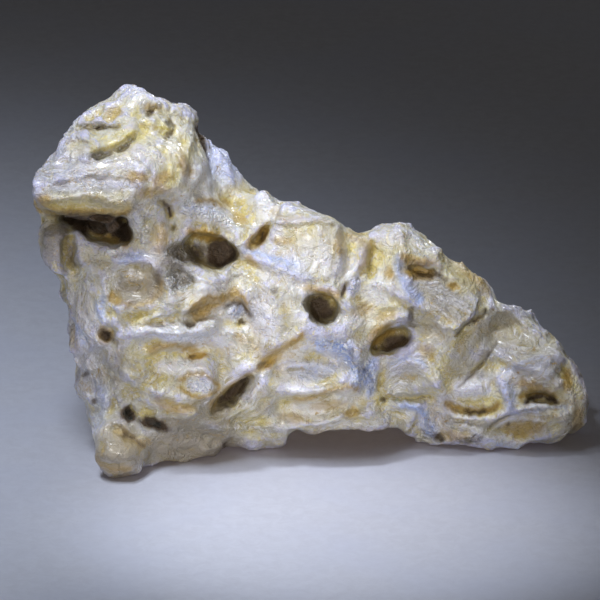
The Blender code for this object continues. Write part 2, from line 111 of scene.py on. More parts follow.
# Folds and cracks: how bold they are, the share of their length that they fade over at each end, how narrow
# a fold's steep side is, and where its furrow lies and how it spreads, in half widths.
BOLDNESS = 0.95
FURROW_SHARE = 0.6
FINE_HEIGHT = 0.6
FINE_FURROW = 0.35
FOLD_ENDS = 0.15
CRACK_ENDS = 0.1
STEEP_SHARE = 0.5
FURROW_PLACE = 1.1
FURROW_SPREAD = 0.36

# How far a stroke's edge strays from its drawn line, in broad waves and in fine ones.
WANDER = 0.45
WANDER_SIZE = 2.6
JITTER = 0.055
JITTER_SIZE = 0.45
WAVES = 9
SEED = 11

# The last touches: the height above which a point is a thorn, and the rounds that blunt and polish it.
THORN = 0.2
BLUNTING = 3
POLISHING = 8

# How far the grain of the stone reaches from a stroke, how the show side wins at its edge, and how far round
# a point its depth is judged, in rounds of smoothing.
LONGEST_DRIFT = 7.0
SHOW_FIRST = 0.25
FINE_ROUNDS = 24
BROAD_ROUNDS = 160

# The colours of the stone and of the table. Umber, ink, smoke and tan also paint shade, and snow paints
# glints and light on shaded folds.
MILK = (0.66, 0.63, 0.53, 1)
STRAW = (0.67, 0.56, 0.23, 1)
PEARL = (0.62, 0.62, 0.83, 1)
OLIVE = (0.33, 0.27, 0.10, 1)
SMOKE = (0.27, 0.26, 0.24, 1)
BUTTER = (0.72, 0.61, 0.20, 1)
SNOW = (0.86, 0.86, 0.90, 1)
STEEL = (0.36, 0.48, 0.86, 1)
HONEY = (0.46, 0.30, 0.07, 1)
UMBER = (0.085, 0.055, 0.032, 1)
INK = (0.016, 0.018, 0.014, 1)
TAN = (0.37, 0.32, 0.245, 1)
CLOTH = (0.54, 0.56, 0.64, 1)
CLOTH_SHADE = (0.49, 0.505, 0.58, 1)
CLOTH_BLUE = (0.50, 0.53, 0.65, 1)

# The colours of the lights.
COOL = (0.84, 0.90, 1.0)
COOL_POOL = (0.88, 0.92, 1.0)
EMBER = (1.0, 0.76, 0.60)
WARM = (1.0, 0.97, 0.93)
PALE = (0.92, 0.95, 1.0)
ROOM = (1.0, 0.95, 0.88, 1)

# The camera's frame: its middle in the show side's terms, its width, how far away it is, and its sensor.
VIEW_CENTRE = (-2.295, 30.26)
FRAME_WIDTH = 102.0
CAMERA_AWAY = 1500.0
SENSOR = 36

# Half the table's side, in metres.
TABLE_HALF = 3.0

# Swellings of the rough block, in the world frame: centre x, y, z, half sizes x, y, z, and turn about Z.
SWELLINGS = {
    "left body": ((-27, 19, 27), (18, 17.5, 24), 0),
    "left base": ((-25, 18, 9), (15, 15.5, 13), 0),
    "left wall": ((-40, 20, 34), (8, 13, 16), -20),
    "head": ((-33, 17, 50), (15.5, 15.5, 11), 0),
    "head top": ((-30, 22, 56), (11, 11, 11), 0),
    "ledge": ((-38, 8, 50), (11, 7.5, 4.5), 0),
    "rear hump": ((-18, 29, 43), (8, 9, 12), 0),
    "middle": ((-4, 21, 20), (19, 17, 22), 0),
    "middle top": ((-4, 22, 32), (14, 15, 14), 0),
    "plateau": ((13, 23, 29), (11.5, 14, 13), 0),
    "right shoulder": ((20, 24, 18), (17, 14.5, 16), 0),
    "right body": ((33, 23, 11), (15, 13, 13), 0),
    "right end": ((40, 20, 8), (9, 9.5, 10), 0),
    "left foot": ((-33, 4.4, 3.4), (6, 7, 6.6), 0),
    "right base": ((29, 22, 4.5), (15, 11, 8), 0),
    "belly": ((8, 24.2, 8.2), (19, 15, 9), 0),
    "belly left": ((-14, 21, 6), (16, 11.5, 9), 0),
    "back base": ((2, 26, 8), (36, 14, 14), 0),
}

# The outline of the front, clockwise from the left foot, as (u, v).
OUTLINE = [
    (-34, 0), (-35.6, 1), (-37, 4), (-37.3, 7), (-38, 9.5), (-39.2, 13), (-40.2, 18), (-41.4, 24),
    (-42, 30), (-42.7, 33.4), (-45, 35.8), (-46.4, 39), (-46.8, 42), (-46, 44.6), (-47.2, 46), (-47.6, 48),
    (-46.8, 50.5), (-45.6, 53.5), (-43.5, 56.3), (-40.6, 58.6), (-39.8, 60.6), (-37.5, 62.2), (-34.4, 64),
    (-32.6, 66), (-30.6, 67.1), (-29.2, 65.2), (-26, 65), (-22.5, 63.6), (-20, 61.8), (-19.4, 58.6),
    (-17.6, 57), (-14.6, 54.8), (-13.2, 52.6), (-12, 50.2), (-10.4, 48.8), (-7.9, 48.6), (-6.2, 47),
    (-4, 46.5), (-2, 46.3), (-0.6, 45.2), (2.4, 44.7), (5.6, 42.4), (9, 41.8), (12, 42.8), (15, 43),
    (18.5, 41.4), (21, 39.4), (24.5, 37.2), (28, 33.8), (30.6, 31.6), (32, 29.6), (34.6, 29.2), (36.8, 28.4),
    (38.4, 25.8), (40.4, 24), (43.6, 20.2), (46, 17.4), (47.2, 14.4), (47.2, 11), (46, 8.2), (42.5, 6.8),
    (39, 4.8), (36.5, 3.6), (33, 3.8), (29, 3.6), (24, 3.4), (20.4, 3.6), (17.8, 5.4), (15.6, 7.4),
    (12.4, 7.5), (9.6, 6.8), (6.4, 7.5), (3.8, 7.6), (-0.6, 6.4), (-3, 7.5), (-4.4, 6.4), (-6.4, 4.2),
    (-10.4, 3.4), (-15, 2.8), (-20, 2.4), (-25.6, 2.2), (-28.2, 1.6), (-31, 0.4),
]

# The sides of the stone that are carved, with the azimuth and the tilt they are looked at from.
SIDES = {"top": (0, 90), "back": (180, 0), "right": (90, 0), "left": (-90, 0), "show": (0, FRONT_TILT)}

# Flat facets of the show side: u, v, half width, half height, turn, slope along u, slope along v, and lift.
FACETS = {
    "block face": (-0.8, 39.6, 7.4, 5.6, -8, 0.05, 0.1, 1.4),
    "plateau face": (12.6, 38, 4.2, 5.2, 0, 0.2, 0.1, 0),
    "shoulder face": (20.6, 31.4, 8.6, 5, -38, -0.35, -0.3, 0.5),
    "beige slope": (35.6, 22.4, 7.6, 4.4, -30, -0.15, -0.9, 0.2),
    "ledge top": (-38.8, 48.3, 8.8, 2.4, 5, 0.1, -0.2, 0.5),
    "head left": (-41.2, 55.6, 5, 3.4, 38, 1, -0.9, 0),
    "head right": (-23.4, 60.2, 4, 3.6, -30, -0.9, -0.6, 0),
    "cheek": (-24.6, 52, 4, 4, -30, -0.45, 0, 1),
    "left side above": (-39, 29, 3.8, 7.5, 4, 1, 0.2, 0),
    "left side below": (-37.6, 16, 3.8, 7, 4, 1, 0.2, 0),
    "flat under the wave": (-23, 17.6, 7, 5, 0, 0, -0.05, 0.2),
    "wave top": (-22.5, 26, 6.5, 2, 0, 0, -0.6, 0.3),
    "apron": (0.6, 17, 8, 5, -6, -0.05, -0.35, 0.3),
    "foot of the apron": (2.6, 10.4, 11, 4.4, -2, 0, -0.25, 0.6),
    "face of the ledge": (-39.4, 45.6, 9, 1.2, 1, 0.1, -0.1, 0.4),
}

# Hollows pressed into the show side: u, v, half width, half height, turn, depth, wall, lean.
# The wall is the share of the half sizes that slopes down, from 0.2, steep, to 1, a dish. The lean is how far
# up the hollow's floor lies, behind its upper lip. A negative depth is a swelling.
HOLLOWS = {
    "cave under the ledge": (-35.4, 42.3, 5.2, 2.7, -12, 11, 0.2, 0.8),
    "thin end of the cave": (-40.4, 43.5, 4.6, 1.5, -3, 8, 0.3, 0.6),
    "corner of the cave": (-32.4, 43, 2, 1.9, -10, 9, 0.25, 0.4),
    "behind the cheek": (-18.4, 50, 4.2, 2.8, -32, -1.6, 0.9, 0),
    "gully beside the cave": (-41.6, 39.4, 1.9, 5.6, 8, 4, 0.5, 0),
    "under the ledge tip": (-44.6, 43.4, 3.4, 1.3, 4, 3, 0.4, 0.6),
    "second cave": (-16.8, 38.5, 5.4, 3, -20, 9, 0.3, 0.6),
    "shallow end of the second cave": (-21.8, 38, 3.6, 1.9, -8, 4.5, 0.6, 0),
    "eye socket": (-31, 33.2, 4.8, 3.9, -10, 1.6, 0.5, 0),
    "eyeball": (-30.8, 33.8, 3.9, 2.8, -5, -1.5, 1, 0),
    "crystal pocket": (-22.4, 33.4, 2.9, 2.4, -12, 1.9, 0.6, 0.5),
    "arched pocket": (-15.5, 27.8, 5.2, 2.5, 13, 2.3, 0.35, 0.6),
    "crystal knob": (-13.8, 28.2, 3.2, 2, 10, -2.6, 0.8, 0),
    "pocket shelf": (-17.4, 26.2, 3.4, 1.1, 4, -2.2, 0.8, 0),
    "round hole": (1.4, 28.9, 3.4, 2.6, -14, 9, 0.18, 0.8),
    "slot by the block": (-8.6, 41.3, 3.2, 1, 58, 4, 0.4, 0),
    "furrow by the block": (9.2, 37.4, 1.1, 4.6, 4, 1.4, 0.8, 0),
    "gap under the block": (5.4, 32, 0.9, 1.4, -25, 2.6, 0.5, 0),
    "bead": (7.3, 32.4, 1.7, 1.6, 0, -2.2, 0.9, 0),
    "ring hollow": (-19.5, 15.4, 3.7, 2.2, 10, 1, 0.6, 0),
    "slanting slot": (-13.4, 14.6, 5.7, 1.15, 42, 4.2, 0.35, 0.8),
    "foot knob": (-33.4, 4.4, 4.2, 3.8, 0, -1.6, 0.8, 0),
    "crescent in the foot": (-31.5, 7.4, 3, 1, -46, 2.4, 0.5, 0),
    "almond hole": (13.3, 23, 4.2, 1.75, 24, 6.5, 0.25, 0.6),
    "amber hole": (18.4, 35.1, 2.5, 1.1, -12, 2.6, 0.35, 0.4),
    "dome": (26.8, 14.7, 3.6, 2.6, 0, -2.2, 0.9, 0),
    "mouth": (38.9, 13.3, 3.1, 1.1, -10, 3.4, 0.4, 0.4),
    "beside the crack": (32.2, 26.2, 3.4, 1.7, -35, -1.1, 1, 0),
    "swirl crease": (17, 13.7, 3, 0.9, 0, 2, 0.6, 0),
    "swirl nick": (11.6, 15.9, 1, 1.7, -12, 2, 0.6, 0),
    "slit in the head": (-36.4, 59.2, 3.5, 1.1, 2, 1.9, 0.5, 0.5),
    "slit by the pillar": (-25, 44.6, 0.4, 2.2, 3, 2, 0.6, 0),
    "pit in the left side": (-35.8, 24.5, 1.6, 1.5, 0, 2.4, 0.5, 0),
    "black pit": (-30.8, 11.3, 1.4, 1.2, 0, 2, 0.5, 0),
    "black streak": (-27, 9, 2.6, 1, -30, 1.6, 0.6, 0),
    "lower shadow": (-21, 6.6, 9, 3.4, -3, 2, 0.9, 0),
    "behind the head": (-18.7, 56.5, 1.1, 5, 14, 3.5, 0.8, 0),
}

# Folds along the show side: points (u, v), half width, height, and depth of the furrow on the right hand.
FOLDS = {
    "ledge rim": ([(-48.4, 46.6), (-43, 45.4), (-38, 45.7), (-33, 45.6), (-28.6, 47)], 1.3, 1.5, 0),
    "brow of the ledge": ([(-46, 51.5), (-41, 52), (-36, 53.2), (-31, 53.4), (-26.5, 54.6)], 1.5, 0.3, 0),
    "yellow band": ([(-38.4, 56), (-33, 57), (-29.2, 59)], 1.2, 1.8, 1.3),
    "white tongue": ([(-29, 61.2), (-24.6, 59.8), (-21.4, 57.8)], 1.2, 1, 0.9),
    "cheek fold": ([(-24.6, 58.6), (-22.9, 54.8), (-20.2, 50.6)], 1.2, 1.1, 0.9),
    "horn": ([(-34.5, 61), (-31.4, 63), (-30.4, 65.6)], 1.4, 0.8, 0.4),
    "pillar": ([(-27.6, 45.6), (-26.6, 42.2), (-27.6, 38.6)], 1.5, 1.4, 0),
    "band over the second cave": (
        [(-24.4, 45.6), (-20, 45.6), (-15.6, 44.2), (-12.4, 41.6), (-11.3, 37.6)], 1.8, 1.5, 0),
    "socket brow": ([(-36, 35.4), (-31.4, 37.6), (-27, 35.4), (-25.4, 31.4)], 1.3, 1, 0.2),
    "socket floor": ([(-35.4, 32.4), (-32.6, 29.6), (-27.6, 29.6)], 1.3, 0.9, 0.4),
    "shelf": ([(-26, 30.6), (-22, 30.4), (-18.6, 32.2), (-12.6, 33.4)], 1.2, 1.1, 0.6),
    "arch": ([(-21.4, 25.6), (-18.6, 29.8), (-14.6, 31.6), (-11, 30), (-9.2, 26.8)], 1.2, 1, 0),
    "web": ([(-13.2, 32.8), (-10.4, 29.4), (-8.2, 25.4), (-8.8, 21.4)], 2, 1.2, 0.3),
    "streaks": ([(-12.4, 38), (-8, 36.4), (-3, 34.6), (0, 32.8)], 1.5, 0.7, 0.8),
    "hole brow": ([(-2.4, 29.4), (-0.6, 32), (2.6, 32.4), (5.2, 30.2)], 1.3, 1.4, 0),
    "hole floor": ([(-2.2, 27.8), (0.6, 26), (4.6, 25.2), (6.6, 27.6)], 1.2, 0.9, 0.2),
    "block edge": ([(6.2, 43), (7.6, 39.4), (6.8, 35.4), (4.4, 32.6)], 1.4, 1.4, 0),
    "white wave": ([(-32, 23.4), (-28, 24.6), (-23, 23.6), (-18, 24), (-13.4, 22)], 1.8, 1.1, 1.1),
    "lip of the slanting slot": ([(-18.8, 12.4), (-14.4, 17), (-9.2, 20.4)], 1.6, 1.5, 0),
    "far side of the slot": ([(-15.6, 10.4), (-11.4, 13), (-7.4, 17)], 1.2, 0.8, 0.4),
    "honey lip": ([(-9.6, 21.6), (-5, 23), (-0.4, 25.4)], 1.3, 1.1, 1.6),
    "lower lip": ([(-30, 13.8), (-25.4, 12.4), (-20, 10.6), (-16, 8)], 1.8, 1, 1.6),
    "plates": ([(-6, 18.4), (-1, 19.4), (3.4, 18.4), (6.4, 15.8)], 1.2, 0.9, 0.9),
    "apron folds": ([(-5.6, 13.6), (0, 14.6), (4, 15.6), (7.6, 15.2)], 1.2, 0.7, 0.4),
    "apron hem": ([(-6, 9.8), (0, 9.2), (6.4, 10.6), (12, 10)], 1.3, 0.8, 0.5),
    "almond brow": ([(9.4, 21.4), (11.4, 24.8), (14.4, 26.2), (18, 25.6)], 1.2, 1.2, 0),
    "amber hole brow": ([(14.2, 36.2), (18, 37.5), (22.4, 35.6)], 1.2, 1.1, 0),
    "fibres": ([(14.2, 39), (15.4, 34), (16.6, 28.6)], 1.2, 0.8, 0.5),
    "boundary": ([(18.6, 29.2), (22.6, 27.2), (23.6, 24.4)], 1, 0.5, 0.9),
    "shoulder edge": ([(23.4, 23.6), (26.3, 25.6), (28.6, 27.2), (30.4, 29.4)], 1.4, 1, 0.7),
    "second crack": ([(24.4, 15), (27.4, 17.8), (28.8, 20), (31, 24)], 1.3, 0.4, 0.4),
    "swirl": ([(12.8, 17), (16, 18.9), (19.8, 17.4), (21, 14.4)], 1.2, 1.1, 0.9),
    "fibre bundle": ([(14.2, 13), (18, 10.6), (21.6, 6.4)], 1.5, 1.2, 0.6),
    "fork": ([(31.2, 17.4), (33, 13.6), (33, 11)], 1.1, 1, 0.3),
    "leaf top": ([(29.4, 8.6), (33, 10.9), (38, 10.7), (42, 9.7), (45.4, 11.6)], 1.1, 1, 0.8),
    "leaf hem": ([(29, 5.2), (35, 5.4), (40, 6.8), (44.6, 9)], 1.1, 0.7, 0.3),
    "mouth rim": ([(34.6, 15), (39.6, 16.4), (43.8, 14.6), (44.6, 11.4)], 1.2, 0.9, 0.2),
    "slope ridge": ([(32.4, 16.8), (38, 19.2), (41, 20.8), (46, 17.4)], 1.3, 0.8, 0.5),
}

# The same three kinds of stroke on the other sides, as they are seen square on, with u to the right there.
MORE_FACETS = {
    "back": {"flank": (28, 24, 9, 6, 10, 0.1, 0.3, 0), "wing": (-22, 14, 9, 6, -20, -0.2, -0.6, 0)},
    "left": {"cheek": (-20, 52, 7, 4, -20, 0.1, -0.6, 0)},
}
MORE_HOLLOWS = {
    "left": {
        "dip": (-27, 34, 4, 5.5, 10, 4, 0.5, 0.6), "cleft": (-15, 20, 2, 6, 15, 3, 0.5, 0),
        "pit": (-30, 14, 3, 2.4, 0, 3, 0.5, 0), "under the ledge": (-9, 42.5, 6, 2.4, 0, 4, 0.4, 0.8)},
    "right": {"pit": (24, 10, 4, 3, 0, 2.5, 0.6, 0)},
    "back": {
        "high scoop": (26, 41, 7, 5, 20, 5, 0.5, 1), "hole": (10, 26, 4, 3, -15, 6, 0.35, 0.6),
        "wide scoop": (-12, 18, 8, 5, -20, 4, 0.7, 0), "slot": (-28, 11, 5, 1.6, -18, 4, 0.4, 0.4),
        "pit": (34, 20, 3, 3.6, 0, 4, 0.5, 0), "cleft": (20, 12, 6, 2, 25, 3.5, 0.5, 0.5),
        "nick": (2, 10, 3, 2, 0, 3, 0.5, 0), "pit in the head": (33, 54, 3, 2, 10, 2.5, 0.5, 0)},
    "top": {
        "saddle": (4, 29, 5, 4, 20, 2.5, 0.7, 0), "shoulder dip": (22, 30, 4, 3, 0, 2.5, 0.7, 0),
        "tail dip": (34, 31, 3.5, 3, 0, 2, 0.7, 0), "crown dip": (-27, 30, 4, 3, 0, 2, 0.7, 0),
        "neck": (-9, 32, 3, 4, 0, 2.5, 0.7, 0)},
}
MORE_FOLDS = {
    "left": {
        "brow": ([(-36, 44), (-26, 47), (-14, 45), (-4, 47)], 1.8, 1, 0.8),
        "belt": ([(-36, 26), (-24, 24), (-12, 28)], 1.8, 0.9, 0.8),
        "hem": ([(-32, 8), (-22, 12), (-10, 9)], 1.8, 0.9, 0.7)},
    "back": {
        "brow": ([(44, 46), (34, 46), (24, 50), (16, 46)], 2, 1.1, 0.9),
        "belt": ([(40, 32), (28, 30), (16, 34), (6, 40)], 2, 1.1, 0.9),
        "arm": ([(8, 18), (-4, 26), (-16, 28), (-30, 22)], 1.8, 1, 0.8),
        "hem": ([(38, 10), (26, 8), (12, 16), (0, 14)], 1.8, 1, 0.8),
        "tail": ([(-8, 8), (-20, 10), (-34, 16), (-42, 12)], 1.6, 0.9, 0.7)},
    "top": {
        "crown": ([(-38, 29), (-30, 34), (-20, 30)], 1.8, 0.8, 0.8),
        "neck": ([(-8, 38), (-2, 29), (-6, 19)], 1.8, 0.9, 0.9),
        "plateau": ([(14, 38), (11, 29), (17, 19)], 1.8, 0.9, 0.9),
        "shoulder": ([(26, 36), (31, 28), (29, 20)], 1.8, 0.9, 0.9),
        "tail": ([(40, 34), (37, 25), (43, 16)], 1.8, 0.8, 0.8)},
}

# The hollow under the stone: centre x, y, z and half sizes.
ARCH = ((6, 20, -0.5), (12.5, 9, 8.5))

# Finer folds of the show side, between the ones above, in the same terms.
FINE_FOLDS = {
    "ledge crease": ([(-46.5, 49), (-42, 48.4), (-37, 49.2), (-32, 48.6), (-28, 50)], 0.8, 0.3, 0.2),
    "ledge lip": ([(-45.6, 47.4), (-41, 46.9), (-36, 47.6), (-31.6, 47)], 0.7, 0.4, 0.5),
    "temple": ([(-45, 53.5), (-40.4, 54.8), (-36, 54.2), (-31, 55)], 0.8, 0.6, 0.6),
    "over the slit": ([(-40.6, 60.2), (-36.6, 61.4), (-32.8, 60.2)], 0.8, 0.7, 0.4),
    "under the slit": ([(-39.4, 57.6), (-34.6, 58.2), (-30.6, 60.2)], 0.7, 0.6, 0.6),
    "horn left": ([(-33.8, 65), (-32.4, 62.4), (-32.6, 60.4)], 0.7, 0.5, 0.4),
    "horn right": ([(-29.4, 64.6), (-29, 62.4), (-26.4, 61.6)], 0.7, 0.5, 0.7),
    "crown": ([(-27.6, 64), (-23.4, 62.6), (-20.6, 60)], 0.8, 0.6, 0.5),
    "cheek one": ([(-26.6, 58), (-25, 55), (-23.8, 50.6)], 0.7, 0.6, 0.6),
    "cheek two": ([(-22, 59.4), (-20.8, 55.4), (-18.8, 51.4)], 0.7, 0.5, 0.6),
    "cheek three": ([(-30, 55.6), (-27.6, 52.4), (-27.2, 48.4)], 0.7, 0.6, 0.7),
    "cheek four": ([(-33.8, 52), (-30.4, 50.6), (-28.2, 46.8)], 0.7, 0.5, 0.6),
    "side of the pillar": ([(-29.6, 45.8), (-28.8, 43), (-29.4, 40)], 0.6, 0.7, 0.5),
    "ridge above": ([(-24, 46.9), (-20, 47.7), (-15, 46.6), (-11.5, 44.4)], 0.8, 0.7, 0.8),
    "ridge below": ([(-22.4, 43.7), (-18, 43.5), (-14.4, 41.9)], 0.7, 0.6, 0.4),
    "rim of the second cave": ([(-24.6, 38.6), (-21, 34.8), (-15.6, 33.9), (-11.8, 36.2)], 0.7, 0.7, 0.4),
    "socket upper lid": ([(-35, 35), (-31.4, 36.6), (-28, 35)], 0.6, 0.5, 0.6),
    "socket lower lid": ([(-34.6, 31.6), (-30.6, 30.2), (-27, 31.8)], 0.6, 0.5, 0.6),
    "beside the socket": ([(-36.4, 38), (-33, 39.6), (-29.4, 38.6)], 0.7, 0.7, 0.5),
    "shelf edge": ([(-25.6, 31.4), (-22.6, 30.9), (-19.8, 32.4)], 0.5, 0.6, 0.4),
    "shelf line": ([(-20, 34.2), (-16, 33.3), (-12, 34)], 0.6, 0.5, 0.6),
    "arch inside": ([(-19.6, 25.4), (-17.4, 28.6), (-14.2, 30), (-11.4, 28.6)], 0.6, 0.4, 0.7),
    "pocket floor": ([(-18.6, 25.6), (-14.4, 26.1), (-10.4, 27.2)], 0.7, 0.6, 0.5),
    "pocket step": ([(-21.4, 24.8), (-17, 24.9), (-12.6, 24.4)], 0.6, 0.4, 0.4),
    "web line": ([(-11.4, 32.6), (-8.6, 29.6), (-6.8, 25.8)], 0.7, 0.5, 0.6),
    "streak one": ([(-11.8, 39.8), (-7, 38), (-2, 36.4)], 0.6, 0.45, 0.6),
    "streak two": ([(-12, 36.6), (-8, 35.2), (-4, 33.2)], 0.6, 0.5, 0.6),
    "streak three": ([(-11.8, 34.6), (-9, 33.4), (-5.6, 30.8)], 0.6, 0.45, 0.6),
    "lens": ([(-8, 33.4), (-6, 34.8), (-3.8, 33.6), (-5.6, 32.2), (-8, 33.4)], 0.5, 0.4, 0.5),
    "block top": ([(-8, 45.2), (-3, 43.5), (2, 43.6), (6, 42)], 0.8, 0.6, 0.6),
    "block left": ([(-7, 42), (-4.4, 38.6), (-5, 34.8)], 0.7, 0.5, 0.6),
    "block middle": ([(-0.4, 43), (1.4, 38.6), (0, 34.4)], 0.7, 0.45, 0.6),
    "block right": ([(3.4, 42.4), (4.8, 38.4), (3.4, 34.6)], 0.7, 0.45, 0.5),
    "over the round hole": ([(-1.8, 33.4), (2, 34.2), (5.8, 32.2)], 0.7, 0.6, 0.5),
    "under the round hole": ([(-2.6, 26.6), (0.6, 24.8), (4.8, 24), (7.8, 26.2)], 0.6, 0.5, 0.6),
    "wave top": ([(-31.6, 26.6), (-27, 27), (-22, 25.9), (-18, 26.2)], 0.7, 0.6, 0.6),
    "wave line": ([(-30.6, 24.8), (-25, 25), (-19.4, 24.6)], 0.5, 0.35, 0.4),
    "wave below": ([(-30, 21), (-25, 22.2), (-20, 20.8), (-15.4, 19.6)], 0.7, 0.6, 0.5),
    "wave above": ([(-30, 29), (-26.2, 29.4), (-22.6, 28.2)], 0.7, 0.5, 0.6),
    "outer ring": (
        [(-23.6, 15.6), (-19.5, 18.4), (-15.6, 15.6), (-19.5, 12.8), (-23.6, 15.6)], 0.6, 0.5, 0.4),
    "inner ring": (
        [(-21.6, 15.6), (-19.6, 16.8), (-17.4, 15.6), (-19.6, 14.3), (-21.6, 15.6)], 0.5, 0.4, 0.5),
    "small oval": ([(-28.4, 15.4), (-25.6, 17.6), (-23.6, 15.6), (-26, 13.6), (-28.4, 15.4)], 0.6, 0.4, 0.5),
    "underside one": ([(-28, 10.6), (-22, 9.8), (-17, 7.2)], 0.8, 0.6, 0.6),
    "underside two": ([(-27, 6.6), (-20, 6.8), (-12, 5.8)], 0.8, 0.6, 0.6),
    "underside three": ([(-14, 9), (-10, 11), (-6.6, 13.4)], 0.8, 0.6, 0.6),
    "underside four": ([(-24, 4.4), (-17, 4.8), (-9, 5.6)], 0.7, 0.5, 0.5),
    "inside the slanting slot": ([(-17.4, 10.8), (-13.4, 13.8), (-9.6, 17.2)], 0.5, 0.5, 0.5),
    "left streak one": ([(-40, 32), (-39, 24), (-37.4, 15)], 0.7, 0.5, 0.7),
    "left streak two": ([(-37, 31.4), (-35.4, 27.4), (-36, 26.2)], 0.6, 0.5, 0.6),
    "left streak three": ([(-35.4, 22), (-34.2, 16), (-33, 11)], 0.7, 0.5, 0.7),
    "left streak four": ([(-33.2, 28), (-32.8, 21), (-31.2, 14.6)], 0.7, 0.6, 0.7),
    "left streak five": ([(-38.4, 21), (-36.8, 14), (-35, 9.4)], 0.6, 0.5, 0.6),
    "foot line": ([(-36.4, 6.8), (-33.8, 9), (-31, 8.2), (-29.6, 5)], 0.6, 0.5, 0.6),
    "honey step": ([(-7.8, 18.4), (-4, 19.8), (0.6, 21.4)], 0.6, 0.6, 0.7),
    "apron left": ([(-8, 16.4), (-5.6, 12.8), (-4.8, 9.2)], 0.6, 0.5, 0.6),
    "apron crease": ([(-4.4, 13.2), (0, 13.6), (4, 14.6), (8, 14.4)], 0.6, 0.4, 0.4),
    "apron plate": ([(-2.4, 17), (1, 15.9), (4.4, 17.2)], 0.6, 0.5, 0.6),
    "apron ripple": ([(-4, 11.6), (1, 11.9), (4.6, 12.6)], 0.6, 0.5, 0.6),
    "small recess": ([(4.6, 11), (6.5, 12.9), (8.6, 11.2)], 0.5, 0.5, 0.6),
    "vein left": ([(0.6, 22.4), (3.6, 20.2), (6.4, 16.4)], 0.6, 0.6, 0.5),
    "vein right": ([(2.6, 24.6), (6, 22.8), (9.4, 19), (10.6, 15)], 0.6, 0.3, 0.2),
    "over the almond": ([(8.6, 26.4), (12, 28.6), (16, 28)], 0.7, 0.6, 0.6),
    "almond lid": ([(9.4, 22.8), (12.4, 26), (16.4, 26.6), (18.8, 24.4)], 0.6, 0.5, 0.4),
    "under the almond": ([(10, 20.4), (13.8, 20.3), (17.4, 22.4)], 0.6, 0.5, 0.6),
    "plateau one": ([(12, 40), (11.6, 36), (10.4, 32)], 0.7, 0.6, 0.6),
    "plateau two": ([(14.8, 40.4), (14, 35), (12.6, 30.4)], 0.6, 0.5, 0.6),
    "plateau three": ([(17.4, 40.8), (20.6, 38.4), (24, 35.6)], 0.7, 0.6, 0.6),
    "fibre one": ([(16.4, 39.2), (16.4, 35.4), (17.8, 31)], 0.45, 0.45, 0.5),
    "fibre two": ([(14.8, 37.4), (15.4, 33), (17, 29.2)], 0.45, 0.45, 0.5),
    "fibre three": ([(13.4, 36.4), (14.2, 32), (15.4, 29)], 0.45, 0.45, 0.5),
    "under the amber hole": ([(15.8, 34), (18.8, 33), (22.6, 33.6)], 0.6, 0.5, 0.5),
    "shoulder one": ([(18.4, 33), (22, 31.8), (26, 29.4)], 0.7, 0.5, 0.6),
    "shoulder two": ([(20, 31), (24, 29.6), (27.4, 27.6)], 0.7, 0.45, 0.6),
    "plate below the boundary": ([(18, 27), (21, 25.4), (22.4, 22.6)], 0.6, 0.5, 0.5),
    "swirl outer": ([(11, 18.6), (15, 20.6), (20, 19.2), (22.4, 15.8)], 0.6, 0.6, 0.6),
    "swirl middle": ([(12.6, 16), (15, 17.8), (18.4, 16.8), (19.8, 14.6)], 0.5, 0.5, 0.6),
    "swirl inner": ([(13.8, 15), (16, 16.2), (18.2, 15.2)], 0.5, 0.4, 0.5),
    "swirl tail": ([(12.4, 12.6), (14.6, 14.6), (18.6, 14.8)], 0.5, 0.5, 0.6),
    "bundle one": ([(12.6, 12.4), (16, 9.6), (19.6, 5.2)], 0.5, 0.5, 0.6),
    "bundle two": ([(14.6, 13.2), (18.4, 9.8), (21, 5.8)], 0.45, 0.5, 0.6),
    "bundle three": ([(16.6, 12.8), (19.8, 9.6), (22.4, 6)], 0.45, 0.45, 0.5),
    "neck": ([(21, 13.6), (22.6, 9.8), (24.8, 6)], 0.6, 0.6, 0.6),
    "dome ring": ([(24.4, 14.6), (26, 16.9), (29, 16.8), (30, 14.4)], 0.5, 0.4, 0.5),
    "dome lip": ([(23.4, 12.6), (27.4, 11.4), (31.6, 12.6)], 0.6, 0.6, 0.4),
    "under the dome": ([(22.4, 12), (25.4, 9.9), (30, 9.6)], 0.6, 0.6, 0.6),
    "slope one": ([(30, 25.4), (33.6, 22.4), (38.4, 21.2)], 0.7, 0.35, 0.5),
    "slope two": ([(32, 27.8), (36, 26.6), (38, 23.4)], 0.7, 0.5, 0.5),
    "slope three": ([(30.6, 20.4), (34.4, 18.4), (38.4, 17.2)], 0.6, 0.45, 0.5),
    "crack wall": ([(24.8, 16.6), (27.2, 19.2), (28.6, 21.8), (30, 25)], 0.5, 0.5, 0.4),
    "mouth upper": ([(34, 13.6), (37, 15.2), (41, 14.6), (43.2, 12.2)], 0.5, 0.6, 0.3),
    "mouth lower": ([(34.4, 11.6), (38.6, 11.5), (43.6, 12)], 0.5, 0.5, 0.4),
    "knob rim": ([(44.2, 17.4), (46, 13.6), (45.6, 9.6)], 0.7, 0.5, 0.6),
    "knob inner": ([(40.4, 18.4), (43.2, 17), (44.6, 14), (44, 10.6)], 0.6, 0.5, 0.6),
    "leaf vein": ([(30.8, 7.2), (34, 9), (38.4, 8.8), (42.6, 8)], 0.5, 0.5, 0.5),
    "leaf under": ([(31.2, 6.1), (36, 6.3), (40.8, 7.3)], 0.5, 0.4, 0.5),
    "hem right": ([(23.4, 9.6), (26.2, 7.8), (27.8, 4.8)], 0.6, 0.6, 0.6),
}

